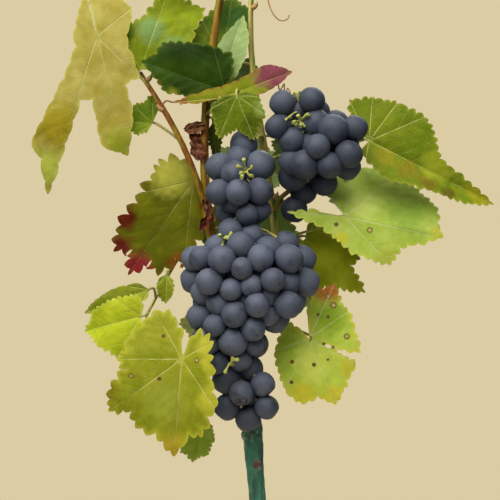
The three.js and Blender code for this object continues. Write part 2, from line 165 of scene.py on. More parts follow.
def piece(name, mesh, finish, slot, *nodes):
    """An object of the plant: it rides on the one body and stands for the CAD nodes given."""
    made = shown(name, mesh)
    mesh.materials.clear()
    mesh.materials.append(finish)
    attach(made, "root")
    if nodes:
        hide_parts(*nodes)
    return made


def paint(code):
    """The linear colour of a six-digit colour code."""
    parts = [int(code[i:i + 2], 16) / 255 for i in (0, 2, 4)]
    return (*[p / 12.92 if p <= 0.04045 else ((p + 0.055) / 1.055) ** 2.4 for p in parts], 1)


def add(tree, kind, inputs=(), **settings):
    """Adds a node with its settings, and its inputs set to values or fed by other nodes' outputs."""
    node = tree.nodes.new(kind)
    for key, value in settings.items():
        setattr(node, key, value)
    for key, value in dict(inputs).items():
        if isinstance(value, bpy.types.NodeSocket):
            tree.links.new(value, node.inputs[key])
        else:
            node.inputs[key].default_value = value
    return node


def blended(tree, factor, a, b, way="MIX"):
    """The output of a node that mixes two colours."""
    mix = add(tree, "ShaderNodeMix", {0: factor, 6: a, 7: b}, data_type="RGBA", blend_type=way)
    return mix.outputs[2]


def layered(tree, base, *layers):
    """The output of colours laid over a base colour. A layer is (its mask, its colour code)."""
    colour = paint(base)
    for mask, code in layers:
        colour = blended(tree, mask, colour, paint(code))
    return colour


def between(tree, value, low, high, to_low=0.0, to_high=1.0):
    """The output of a node that eases a value from one range into another."""
    inputs = {"Value": value, "From Min": low, "From Max": high, "To Min": to_low, "To Max": to_high}
    return add(tree, "ShaderNodeMapRange", inputs, interpolation_type="SMOOTHSTEP").outputs["Result"]


def maths(tree, operation, a, b=0.0):
    """The output of a node that works out one sum."""
    return add(tree, "ShaderNodeMath", {0: a, 1: b}, operation=operation).outputs[0]


def times(tree, a, b):
    """The output of a node that multiplies two values."""
    return maths(tree, "MULTIPLY", a, b)


def vectors(tree, operation, *inputs):
    """The vector and the value that a node works out from vectors."""
    outputs = add(tree, "ShaderNodeVectorMath", dict(enumerate(inputs)), operation=operation).outputs
    return outputs[0], outputs[1]


def kept(tree, name, output="Fac"):
    """The output that reads what a mesh keeps under a name."""
    return add(tree, "ShaderNodeAttribute", attribute_name=name).outputs[output]


def on_object(tree):
    """The object's own coordinates."""
    return add(tree, "ShaderNodeTexCoord").outputs["Object"]


def socket_name(key):
    """The name that the Principled shader gives an input, from its name in code."""
    return key.replace("_", " ").title().replace("Ior", "IOR")


def feed(tree, shader, **outputs):
    """Links outputs to a shader's inputs."""
    for key, value in outputs.items():
        tree.links.new(value, shader.inputs[socket_name(key)])


def group(name, inputs, outputs):
    """An empty shader group with its sockets: (tree, its input node, its output node)."""
    tree = bpy.data.node_groups.new(name, "ShaderNodeTree")
    for label, (kind, value) in inputs.items():
        socket = tree.interface.new_socket(label, in_out="INPUT", socket_type="NodeSocket" + kind)
        socket.default_value = value
    for label in outputs:
        tree.interface.new_socket(label, in_out="OUTPUT", socket_type="NodeSocketFloat")
    return tree, tree.nodes.new("NodeGroupInput"), tree.nodes.new("NodeGroupOutput")


def material(name, **constants):
    """A new material: (material, its tree, its Principled shader), with plain values on the shader."""
    made = bpy.data.materials.new(name)
    made.use_nodes = True
    shader = made.node_tree.nodes["Principled BSDF"]
    for key, value in constants.items():
        shader.inputs[socket_name(key)].default_value = value
    return made, made.node_tree, shader


def bump(tree, shader, height, distance, strength=1.0):
    """Gives a shader relief from a height."""
    inputs = {"Height": height, "Distance": distance, "Strength": strength}
    feed(tree, shader, normal=add(tree, "ShaderNodeBump", inputs).outputs["Normal"])


# Mottling is a soft-edged noise mask on the object's own coordinates, stretched as the piece needs.
mottling, start, end = group("mottling", {
    "Scale": ("Float", 100.0), "Stretch": ("Vector", (1, 1, 1)), "Detail": ("Float", 3.0),
    "Low": ("Float", 0.4), "High": ("Float", 0.6),
}, ["Mask"])
where = add(mottling, "ShaderNodeMapping", {
    "Vector": on_object(mottling), "Scale": start.outputs["Stretch"],
}).outputs[0]
grain = add(mottling, "ShaderNodeTexNoise", {
    "Vector": where, "Scale": start.outputs["Scale"], "Detail": start.outputs["Detail"],
}).outputs[0]
mask = between(mottling, grain, start.outputs["Low"], start.outputs["High"])
mottling.links.new(mask, end.inputs["Mask"])


def mottled(tree, scale, low=0.4, high=0.6, stretch=(1, 1, 1), detail=3.0):
    """The output of a mottling group placed in a material."""
    node = add(tree, "ShaderNodeGroup", node_tree=mottling)
    inputs = {"Scale": scale, "Stretch": stretch, "Detail": detail, "Low": low, "High": high}
    for key, value in inputs.items():
        node.inputs[key].default_value = value
    return node.outputs["Mask"]


stem_line = middle_line("trunk", 2, 44)
stem_line[0] = (Vector((0, 0, 0)), stem_line[0][1])
scar = min(stem_line, key=lambda slice_: abs(slice_[0].z - SCAR_HEIGHT))
scar_place = scar[0] + Vector(SCAR_SIDE) * scar[1]


def swell(distance, reach):
    """A smooth hump of height 1 that has died away at about twice its reach."""
    return math.exp(-((distance / reach) ** 2))


def stem_surface(place, out):
    """Runs and lumps of wax, the cut bud's rim and pit, and the rough lip at the graft."""
    drips = noise.noise(Vector((place.x * 260, place.y * 260, place.z * 45)))
    lumps = noise.noise(place * 170)
    rough = swell(place.z - GRAFT_HEIGHT, ROUGH_BAND)
    crust = noise.noise(place * 520 + Vector((3, 1, 7)))
    lip = swell(place.z - GRAFT_HEIGHT + 1 * MM, LIP) * max(0, -out.x) ** 3
    away = (place - scar_place).length
    rim = swell(away - SCAR_RIM, SCAR_RIM / 3) - 0.9 * swell(away, SCAR_PIT)
    foot = max(0, 1 - place.z / FOOT_FLARE) ** 2 * noise.noise(Vector((out.x * 1.6, out.y * 1.6, 4)))
    return (0.35 * drips + 0.3 * lumps + 0.75 * rough * crust + 1.5 * lip + 0.9 * rim + 2.2 * foot) * MM


wax, tree, shader = material("stem wax", roughness=0.42, specular_ior_level=0.5, coat_roughness=0.25)
runs = mottled(tree, 150, 0.38, 0.62, (1, 1, 0.22), 4)
place = on_object(tree)
height = add(tree, "ShaderNodeSeparateXYZ", {0: place}).outputs["Z"]
_, near_scar = vectors(tree, "DISTANCE", place, scar_place)
chalk = mottled(tree, 330, 0.56, 0.72, (1, 1, 0.1), 5)
chalk = times(tree, chalk, between(tree, near_scar, 6 * MM, 30 * MM, 0.85, 0.22))
band = times(
    tree, between(tree, height, GRAFT_HEIGHT - 6 * MM, GRAFT_HEIGHT + 4 * MM),
    between(tree, height, GRAFT_HEIGHT + 16 * MM, GRAFT_HEIGHT + 6 * MM),
)
grime = times(tree, band, mottled(tree, 380, 0.4, 0.62))
cut = times(tree, between(tree, near_scar, 1.6 * MM, 3.4 * MM, 1, 0), mottled(tree, 600, 0.3, 0.5))
colour = layered(
    tree, WAX_DEEP, (runs, WAX_BRIGHT), (chalk, WAX_CHALK), (grime, GRAFT_GRIME), (cut, SCAR_BROWN))
feed(
    tree, shader, base_color=colour, roughness=between(tree, mottled(tree, 240), 0, 1, 0.3, 0.62),
    coat_weight=between(tree, grime, 0, 1, 0.35, 0),
)
bump(tree, shader, mottled(tree, 900, 0.3, 0.7, (1, 1, 0.5), 5), 0.35 * MM)
piece("stem", skinned("stem", stem_line, STEM_SIDES, SKIN_STEP, stem_surface), wax, "stem_wax", "trunk")

# ---- the canes and green shoots ----
# This year's shoots, as thick as a pencil lead at their tips. The lower two have ripened to ribbed
# tan bark, and the others are still green. Each has painted light: its left side, which faces the
# key light, is painted lighter and yellower. Each swells at its nodes.
# The third colour on each of these two lines is painted light, for the side of a cane that faces the key
# light.
BARK_TAN, BARK_BROWN, BARK_PAINTED_LIGHT, BARK_RED = "8c6820", "603c12", "a08c24", "84481c"
SHOOT_GREEN, SHOOT_SHADE, SHOOT_PAINTED_LIGHT, SHOOT_FLUSH = "a4a23c", "5f6a22", "d6ca74", "a08a4a"
RIBS_ROUND = 2.5  # how quickly the ribs of a cane follow one another round it


def ribbed(depth, ribs):
    """A surface with shallow ribs and bumps, for a young cane."""
    def surface(place, out):
        turn = math.atan2(out.y, out.x)
        ridge = noise.noise(Vector((math.cos(turn) * ribs, math.sin(turn) * ribs, place.z * 30)))
        return (depth * ridge + 0.5 * depth * noise.noise(place * 300)) * MM
    return surface


def bark(name, shade, dark, light, flush, painted_light_share):
    """A cane's finish: streaks along it, a side painted lighter where the key light falls, freckles, and a
    flush of colour in places.
    """
    made, tree, shader = material(name, roughness=0.55, specular_ior_level=0.18)
    streaks = mottled(tree, 500, 0.4, 0.6, (1, 1, 0.07), 4)
    normal = add(tree, "ShaderNodeNewGeometry").outputs["Normal"]
    facing = add(tree, "ShaderNodeSeparateXYZ", {0: normal}).outputs["X"]
    # Painted light: the side of the cane that faces left, towards the key light, takes the lighter colour.
    side = times(tree, between(tree, facing, 0.35, -0.6), painted_light_share)
    colour = layered(
        tree, shade, (streaks, dark), (side, light), (mottled(tree, 60, 0.5, 0.66, (1, 1, 0.5)), flush),
        (mottled(tree, 1500, 0.66, 0.72), dark))
    feed(tree, shader, base_color=colour, roughness=between(tree, streaks, 0, 1, 0.42, 0.68))
    bump(tree, shader, streaks, 0.15 * MM)
    return made


cane_bark = bark("cane bark", BARK_TAN, BARK_BROWN, BARK_PAINTED_LIGHT, BARK_RED, 0.75)
green_bark = bark("green shoot skin", SHOOT_GREEN, SHOOT_SHADE, SHOOT_PAINTED_LIGHT, SHOOT_FLUSH, 0.8)
shoot_lines = {
    "cane_main": middle_line("cane_main", 2, 60, 0.02),
    "cane_left": middle_line("cane_left", 2, 30),
    "cane_green": middle_line("cane_green", 2, 60, 0.02),
    "side_shoot": middle_line("side_shoot", 2, 24),
    "bunch_stalk": middle_line("bunch_stalk", 1, 12, 0.08),
    "wing_stalk": middle_line("wing_stalk", 2, 12, 0.08),
}
for node, finish, slot, depth in (
    ("cane_main", cane_bark, "cane_bark", 0.3), ("cane_left", cane_bark, "cane_bark", 0.2),
    ("cane_green", green_bark, "cane_green", 0.2), ("side_shoot", green_bark, "cane_green", 0.1),
    ("bunch_stalk", green_bark, "cane_green", 0.1), ("wing_stalk", cane_bark, "cane_bark", 0.1),
):
    skin = skinned(node, shoot_lines[node], CANE_SIDES, 0.9 * MM, ribbed(depth, RIBS_ROUND))
    piece(node + "_skin", skin, finish, slot, node)
shoot_lines["trunk"] = stem_line


def limb_at(limb, height, offset=(0, 0, 0)):
    """The middle of a limb at a height in mm, or a place beside it."""
    nearest = min(shoot_lines[limb], key=lambda slice_: abs(slice_[0].z - height * MM))
    return nearest[0] + Vector(offset) * MM


# ---- the leaves ----
# Late-season vine leaves: thin five-lobed blades with saw-toothed rims, quilted between pale ribs
# that fan from the stalk. Each is grown in one piece, hangs by its own stalk and has turned in its
# own way. A row gives a blade's lie in degrees, its lobes as (degrees from the midrib, mm) and its
# colours. A patch is (degrees from the midrib, mm, radius in mm, colour): mostly autumn colour, but
# some patches of the pale leaf and of the gold fold leaf are painted light and painted shade.
BLADE, STALK = 0.36, 1.8  # mm, a blade's thickness and about a stalk's width
RIM_STEP = 0.95  # mm between points of the rim, at most
SMALL_BLADE = 30  # mm; a blade shorter than this has points FINE mm apart, and a longer one COARSE
FINE, COARSE = 1.05, 1.35
ROW = 0.87  # the height of an even triangle, as a share of its side
SPOT_RINGS = (0, 0.35, 0.6, 0.85, 1.05, 1.35)  # where a spot has rings of points, in its radii
RIB_UNIT = 0.1  # of the rib coordinates, to the mm
BASE_REACH = 0.45  # the rim's ends beside the stalk, as a share of the lobe next to them
RIBS_APART = 28  # degrees between two main ribs, at least
RIBS_MOST = 6
SIDE_SLOPE, SIDE_COSINE = 0.9, 0.74  # how fast a side rib runs along its main rib as it leaves it
WANDER_GRAIN, WANDER_FROM, WANDER_ALONG, WANDER_OFF = 8, 12, 2.2, 0.5  # mm, of ribs that stray
BUCKLE_GRAIN, RIPPLE_GRAIN = 17, 7  # mm, sizes of the slow buckles and of the wavy rim
CLOUD_GRAIN, FLECK_GRAIN, RAGGED_GRAIN = 13, 5, 4  # mm, of the colour and of the patches' rims
RAGGED = 0.35  # how far a patch's rim strays, as a share of its radius
PATCH_EDGE = 1.8  # how steeply a patch's colour sets in at its rim
WIDE_BAY, NARROW_BAY, DEEP_BAY = 60, 12, 0.4  # degrees, degrees, and a share of the reach
PITCHES, TOOTH_HEIGHTS = (0.85, 1.25), (0.45, 1.35)  # shares of a leaf's own pitch and bite
TOOTH_LEAN, TOOTH_STRAY = 0.3, 0.2  # of half a pitch, towards the lobe's tip and either way
SPOT_ZONE, SPOT_ROOM = (0.35, 0.88), 3  # of the way to the rim, and of the largest spot's radius
TAN_SPOT, DARK_SPOT = "d2c070", "704a20"
MOTTLE_SHADE, UNDER_PALE = (0.6, 0.7, 0.4, 1), "a3b27c"
STALK_GREEN, STALK_BROWN, STALK_OLIVE = "b3b95c", "a0603c", "8a8a3c"


class Leaf:
    """A vine leaf: how it lies, folds and is coloured, and the blade and the stalk path it makes."""

    def __init__(self, node, heading, lobes, grows, colours, rim_colour, finish,
                 lean=0, roll=0, bays=0.22, fold=(12, 12), curl=20, cup=25, close=24, teeth=None, via=(),
                 patches=(), spots=(0, 0, 0), wave=1.5, quilt=0.4, underside_out=False):
        self.node, self.finish, self.grows, self.via = node, finish, grows, via
        self.lobes, self.bays, self.close, self.wave, self.quilt = lobes, bays, close, wave, quilt
        self.fold = [math.radians(side) for side in fold]
        self.curl, self.cup = math.radians(curl), math.radians(cup)
        self.veins = self.main_ribs()
        self.deep, self.light = (Vector(paint(code)[:3]) for code in colours)
        self.rim_colour, self.rim_width = Vector(paint(rim_colour[0])[:3]), rim_colour[1]
        self.patches = [(self.at(*row[:2]), row[2], Vector(paint(row[3])[:3])) for row in patches]
        self.underside_out = underside_out
        self.length = max(lobe[1] for lobe in lobes)
        self.pitch, self.bite = teeth or (min(6.2, max(3.0, 0.11 * self.length)), 0.4)
        self.random = random.Random(node)
        self.seed = Vector([self.random.uniform(0, 50) for _ in range(3)])
        self.spots = self.scattered(*spots)
        heading, lean = math.radians(heading), math.radians(lean)
        level = math.cos(lean)
        self.along = Vector((level * math.cos(heading), -math.sin(lean), level * math.sin(heading)))
        self.up = (Vector((0, -1, 0)) + self.along * self.along.y).normalized()
        self.up.rotate(Quaternion(self.along, math.radians(roll)))
        self.side = self.up.cross(self.along)
        self.base = self.base_in(node)

    @staticmethod
    def at(degrees, reach):
        """A point of the flat leaf, from its bearing off the midrib and its reach from the stalk."""
        return Vector((reach * math.cos(math.radians(degrees)), reach * math.sin(math.radians(degrees))))

    def main_ribs(self):
        """A rib runs to each lobe, the longest first, but two never run close together."""
        ribs = []
        for degrees, _ in sorted(self.lobes, key=lambda lobe: -lobe[1]):
            if len(ribs) < RIBS_MOST and all(abs(degrees - other) >= RIBS_APART for other in ribs):
                ribs.append(degrees)
        return [math.radians(degrees) for degrees in ribs]

    def corners(self):
        """The rim's corners: the lobes, the bays between them, and the two ends at the stalk."""
        first, last = self.lobes[0], self.lobes[-1]
        corners = [(first[0] - self.close, first[1] * BASE_REACH)]
        bays = self.bays if isinstance(self.bays, tuple) else (self.bays,) * (len(self.lobes) - 1)
        for a, b, bay in zip(self.lobes, self.lobes[1:], bays):
            gap = b[0] - a[0]
            corners.append(a)
            wide = gap > WIDE_BAY or bay > DEEP_BAY
            for t in (0.35, 0.65) if wide else (0.5,) if gap > NARROW_BAY else ():
                depth = 1 - bay * math.sin(math.pi * t) ** 2
                corners.append((a[0] + gap * t, (a[1] + (b[1] - a[1]) * t) * depth))
        return corners + [last, (last[0] + self.close, last[1] * BASE_REACH)]

    def scattered(self, number, smallest, largest):
        """Spots strewn over the blade, clear of one another and of the rim."""
        degrees, reaches = zip(*self.corners())
        spots = []
        while len(spots) < number:
            bearing = self.random.uniform(self.lobes[0][0], self.lobes[-1][0])
            rim = numpy.interp(bearing, degrees, reaches)
            middle = self.at(bearing, rim * self.random.uniform(*SPOT_ZONE))
            if all((middle - other).length > SPOT_ROOM * largest for other, _ in spots):
                spots.append((middle, self.random.uniform(smallest, largest)))
        return spots

    def base_in(self, node):
        """Where the blade's solid meets its stalk: the corner that most of its edges run to."""
        cad = solid_of(node)
        hub = max(cad.verts, key=lambda corner: (len(corner.link_edges), corner.co.z)).co.copy()
        cad.free()
        return hub - self.up * 0.5 * MM

    def place(self, flat, above=0.0):
        """A point of the flat leaf, in mm along and across, put on the folded and curled one."""
        start = self.fold[1] if flat[1] >= 0 else self.fold[0]
        bend = -self.cup / (0.7 * self.length)
        turned = start + bend * abs(flat[1])
        out = (math.sin(turned) - math.sin(start)) / bend
        rise = (math.cos(start) - math.cos(turned)) / bend + above
        droop = -self.curl / self.length
        angle = droop * flat[0]
        across = out if flat[1] >= 0 else -out
        return self.base + MM * (
            self.along * (math.sin(angle) / droop - rise * math.sin(angle))
            + self.side * across
            + self.up * ((1 - math.cos(angle)) / droop + rise * math.cos(angle))
        )

    def outline(self):
        """The toothed rim, anticlockwise from the base. Lobes end in a tooth, and bays are plain."""
        corners = self.corners()
        reach = [corner[1] for corner in corners]
        tips = [own >= max(low, high) for low, own, high in zip(reach, reach[1:], reach[2:])]
        tips = [False, *tips, False]
        points = [self.at(*corner) for corner in corners]
        rough = [Vector((0, 0)), points[0]]
        for k in range(len(points) - 1):
            a, b = points[k], points[k + 1]
            run = b - a
            out = Vector((run.y, -run.x)).normalized()
            pitch = self.pitch * self.random.uniform(*PITCHES)
            halves = max(1, round(2 * run.length / pitch))
            halves += (halves % 2 == 0) == (tips[k] != tips[k + 1])
            toward_tip = TOOTH_LEAN if reach[k + 1] > reach[k] else -TOOTH_LEAN
            for half in range(1, halves):
                peak = tips[k] == (half % 2 == 0)
                strays = self.random.uniform(-TOOTH_STRAY, TOOTH_STRAY)
                share = (half + (toward_tip if peak else 0) + strays) / halves
                height = self.pitch * self.bite * self.random.uniform(*TOOTH_HEIGHTS) if peak else 0
                rough.append(a + run * share + out * height)
            rough.append(b * (1 + 0.5 * self.pitch * self.bite / max(b.length, 1)) if tips[k + 1] else b)
        fine = []
        for a, b in zip(rough, rough[1:] + rough[:1]):
            run = b - a
            steps = max(1, math.ceil(run.length / RIM_STEP))
            bulge = Vector((run.y, -run.x)) * (0.1 if fine and b.length > 0 else 0)
            for step in range(steps):
                share = step / steps
                fine.append(a + run * share + bulge * share * (1 - share) * 4)
        return fine

    def beside_vein(self, flat):
        """How far a point lies along its nearest rib and off it."""
        angle = math.atan2(flat[1], flat[0])
        vein = min(self.veins, key=lambda v: abs(v - angle))
        reach = math.hypot(*flat[:2])
        wander = noise.noise(Vector((flat[0], flat[1], 0)) / WANDER_GRAIN + self.seed)
        wander *= min(1, reach / WANDER_FROM)
        along = reach * math.cos(vein - angle) + WANDER_ALONG * wander
        return along, abs(reach * math.sin(vein - angle) + WANDER_OFF * wander)

    def relief(self, flat):
        """The quilting between ribs and side ribs, the wavy rim and the blade's slow buckles."""
        u, v = self.beside_vein(flat)
        spacing = self.spacing
        phase = (u - v * SIDE_SLOPE) / spacing
        off = (0.5 - abs(phase % 1 - 0.5)) * spacing * SIDE_COSINE
        quilted = 1 - math.exp(-((min(v, off + 0.15 * spacing) / (0.24 * spacing)) ** 2))
        spread = Vector((flat[0], flat[1], 0))
        share = min(1, spread.length / self.length)
        slow = noise.noise(spread / BUCKLE_GRAIN + self.seed)
        quick = noise.noise(spread / RIPPLE_GRAIN - self.seed)
        return self.quilt * quilted + self.wave * share * slow + 0.45 * self.wave * share ** 2 * quick

    def tint(self, flat, rim_gap):
        """The leaf's colour at a point, before its ribs: its own colour, with painted light and shade where
        a patch gives it.
        """
        spread = Vector((flat[0], flat[1], 0))
        drift = noise.noise(spread / CLOUD_GRAIN + self.seed * 2)
        drift += 0.5 * noise.noise(spread / FLECK_GRAIN + self.seed)
        colour = self.deep.lerp(self.light, min(1, max(0, 0.5 + 0.9 * drift)))
        if rim_gap < self.rim_width:
            colour = colour.lerp(self.rim_colour, (1 - rim_gap / self.rim_width) ** 0.7 * 0.85)
        for middle, radius, patch in self.patches:
            rough = 1 + RAGGED * noise.noise(spread / RAGGED_GRAIN + self.seed)
            ragged = (spread.xy - middle).length * rough
            if ragged < radius:
                colour = colour.lerp(patch, min(1, PATCH_EDGE * (1 - ragged / radius)))
        for middle, radius in self.spots:
            away = (spread.xy - middle).length / radius
            if away < 1.5:
                tan = min(1, max(0, (0.8 - away) * 3)) if radius > 1.2 else 0
                inside = Vector(paint(DARK_SPOT)[:3]).lerp(Vector(paint(TAN_SPOT)[:3]), tan)
                colour = inside.lerp(colour, min(1, max(0, (away - 0.85) / 0.5)))
        return colour

    @staticmethod
    def gap_to(points):
        """A function that tells how far a point of the flat leaf is from the nearest one given."""
        found = kdtree.KDTree(len(points))
        for k, p in enumerate(points):
            found.insert((p.x, p.y, 0), k)
        found.balance()
        return lambda p: found.find((p.x, p.y, 0))[2]

    def blade(self):
        """The closed blade, with its colour, its rib coordinates and which side is under."""
        outline = self.outline()
        self.spacing = min(9.0, max(3.6, 0.13 * self.length))
        fixed = []
        for vein in self.veins:
            for step in range(1, int(self.length)):
                fixed.append(Vector((math.cos(vein), math.sin(vein))) * step)
        for middle, radius in self.spots:
            for share in SPOT_RINGS:
                count = max(1, round(14 * share))
                for k in range(count):
                    turn = k * math.tau / count
                    fixed.append(middle + Vector((math.cos(turn), math.sin(turn))) * radius * share)
        rim_gap = self.gap_to(outline)
        fixed = [p for p in fixed if rim_gap(p) > 0.45]
        taken_gap = self.gap_to(outline + fixed)
        grain = FINE if self.length < SMALL_BLADE else COARSE
        low = [min(p[k] for p in outline) for k in (0, 1)]
        high = [max(p[k] for p in outline) for k in (0, 1)]
        grid = []
        for row in range(int((high[1] - low[1]) / (grain * ROW)) + 1):
            for col in range(int((high[0] - low[0]) / grain) + 1):
                p = Vector((low[0] + (col + row % 2 / 2) * grain, low[1] + row * grain * ROW))
                if taken_gap(p) > 0.62 * grain:
                    grid.append(p)
        places, _, triangles, _, _, owners = geometry.delaunay_2d_cdt(
            outline + fixed + grid, [], [list(range(len(outline)))], 0, 1e-4, True)
        triangles = [t for t, owner in zip(triangles, owners) if owner]
        used = sorted({k for t in triangles for k in t})
        number = {old: new for new, old in enumerate(used)}
        flats = [places[k] for k in used]
        triangles = [[number[k] for k in t] for t in triangles]
        top = [self.place(p, self.relief(p) + BLADE / 2) for p in flats]
        low = [self.place(p, self.relief(p) - BLADE / 2) for p in flats]
        count = len(flats)
        faces = list(triangles) + [[k + count for k in reversed(t)] for t in triangles]
        sides = {(t[k], t[(k + 1) % 3]) for t in triangles for k in range(3)}
        faces += [[b, a, a + count, b + count] for a, b in sides if (b, a) not in sides]
        mesh = bpy.data.meshes.new(self.node)
        mesh.from_pydata(top + low, [], faces)
        tints = []
        for p in flats:
            tints += [*self.tint(p, rim_gap(p)), 1]
        mark(mesh, "tint", tints * 2, "FLOAT_COLOR")
        under = [float(self.underside_out)] * count + [float(not self.underside_out)] * count
        mark(mesh, "under", under)
        beside = [self.beside_vein(p) for p in flats] * 2
        ribs = mesh.uv_layers.new(name="ribs")
        corner = numpy.empty(len(mesh.loops), int)
        mesh.loops.foreach_get("vertex_index", corner)
        beside = numpy.array(beside)[corner] * RIB_UNIT
        ribs.uv.foreach_set("vector", beside.ravel().astype(numpy.float32))
        mesh.shade_smooth()
        mesh.set_sharp_from_angle(angle=math.radians(70))
        return mesh

    def stalk(self):
        """The stalk's path, from under the blade to the middle of its limb, bent as via tells."""
        ends = [self.place((2, 0), -0.3), self.place((-2.5, 0), -0.9)]
        return [*ends, *[self.base + Vector(p) * MM for p in self.via], limb_at(*self.grows)]


# Ribs drawn on the leaf's own rib coordinates, in cm: main ribs, side ribs and the fine net between.
ribs, start, end = group("leaf ribs", {"Spacing": ("Float", 0.7)}, ["Main", "Side", "Net", "Height"])
on_ribs = add(ribs, "ShaderNodeUVMap", uv_map="ribs").outputs[0]
beside = add(ribs, "ShaderNodeSeparateXYZ", {0: on_ribs})
along, off = beside.outputs["X"], beside.outputs["Y"]
width = between(ribs, along, 0.0, 6.0, 0.05, 0.02)
main = maths(ribs, "SUBTRACT", 1.0, between(ribs, maths(ribs, "DIVIDE", off, width), 0.45, 1.25))
main = times(ribs, main, between(ribs, along, 0.0, 0.8, 0.25, 1.0))
phase = maths(ribs, "SUBTRACT", maths(ribs, "ADD", along, 0.17), times(ribs, off, SIDE_SLOPE))
phase = maths(ribs, "DIVIDE", phase, start.outputs["Spacing"])
phase = maths(ribs, "PINGPONG", maths(ribs, "FRACT", phase), 0.5)
apart = times(ribs, phase, start.outputs["Spacing"])
side = maths(ribs, "SUBTRACT", 1.0, between(ribs, apart, 0.01, 0.036))
side = times(ribs, side, between(ribs, off, 0.25, 1.1, 1, 0.25))
cells = add(ribs, "ShaderNodeTexVoronoi", {"Scale": 5.5, "Vector": on_ribs}, feature="DISTANCE_TO_EDGE")
cells = cells.outputs["Distance"]
net = maths(ribs, "SUBTRACT", 1.0, between(ribs, cells, 0.02, 0.16))
height = maths(ribs, "ADD", times(ribs, side, 0.6), times(ribs, net, 0.25))
height = maths(ribs, "ADD", main, height)
for label, value in (("Main", main), ("Side", side), ("Net", net), ("Height", height)):
    ribs.links.new(value, end.inputs[label])


def leaf_finish(name, rib, rib_strength, shine, spacing=0.7, glow=0.3):
    """A leaf's finish: the colour kept on its mesh (with any painted light and shade of its patches), pale
    ribs, faint mottling, and a paler, duller underside.
    """
    made, tree, shader = material(name, specular_ior_level=0.12)
    tint, under = kept(tree, "tint", "Color"), kept(tree, "under")
    lines = add(tree, "ShaderNodeGroup", node_tree=ribs)
    lines.inputs["Spacing"].default_value = spacing
    mottle = mottled(tree, 260, 0.3, 0.7, detail=4)
    colour = blended(tree, times(tree, mottle, 0.28), tint, MOTTLE_SHADE, "MULTIPLY")
    for label, share in (("Net", 0.08), ("Side", 0.22), ("Main", 0.85)):
        strength = times(tree, lines.outputs[label], share * rib_strength)
        colour = blended(tree, strength, colour, paint(rib))
    pale = blended(tree, 0.45, colour, paint(UNDER_PALE))
    colour = blended(tree, under, colour, pale)
    dull = maths(tree, "ADD", between(tree, mottle, 0, 1, shine, shine + 0.14), times(tree, under, 0.2))
    feed(tree, shader, base_color=colour, roughness=dull)
    raised = times(tree, lines.outputs["Height"], between(tree, under, 0, 1, -1, 1))
    bump(tree, shader, raised, 0.18 * MM)
    through = add(tree, "ShaderNodeBsdfTranslucent", {"Color": colour})
    both = add(tree, "ShaderNodeMixShader", {0: glow, 1: shader.outputs[0], 2: through.outputs[0]})
    tree.links.new(both.outputs[0], tree.nodes["Material Output"].inputs["Surface"])
    return made


finishes = {
    "leaf_green": leaf_finish("green leaf", "c4cc6c", 0.55, 0.42),
    "leaf_pale": leaf_finish("pale leaf", "e0e6a4", 0.65, 0.45, glow=0.12),
    "leaf_lime": leaf_finish("lime leaf", "dcdc70", 0.7, 0.45),
    "leaf_dark": leaf_finish("dark leaf", "7f9a48", 0.3, 0.36),
    "leaf_olive": leaf_finish("olive leaf", "b4b454", 0.5, 0.42),
    "leaf_gold": leaf_finish("gold leaf", "e0da80", 0.8, 0.42),
    "leaf_hazy": leaf_finish("hazy leaf", "e2e098", 0.8, 0.55),
    "leaf_autumn": leaf_finish("autumn leaf", "c2bf76", 0.45, 0.42),
}
OPEN_HAND = ((-148, 0.5), (-106, 0.66), (-52, 0.86), (0, 1), (52, 0.86), (106, 0.66), (148, 0.5))


def ordinary(length):
    """The seven points of a leaf that needs no shape of its own."""
    return [(degrees, share * length) for degrees, share in OPEN_HAND]


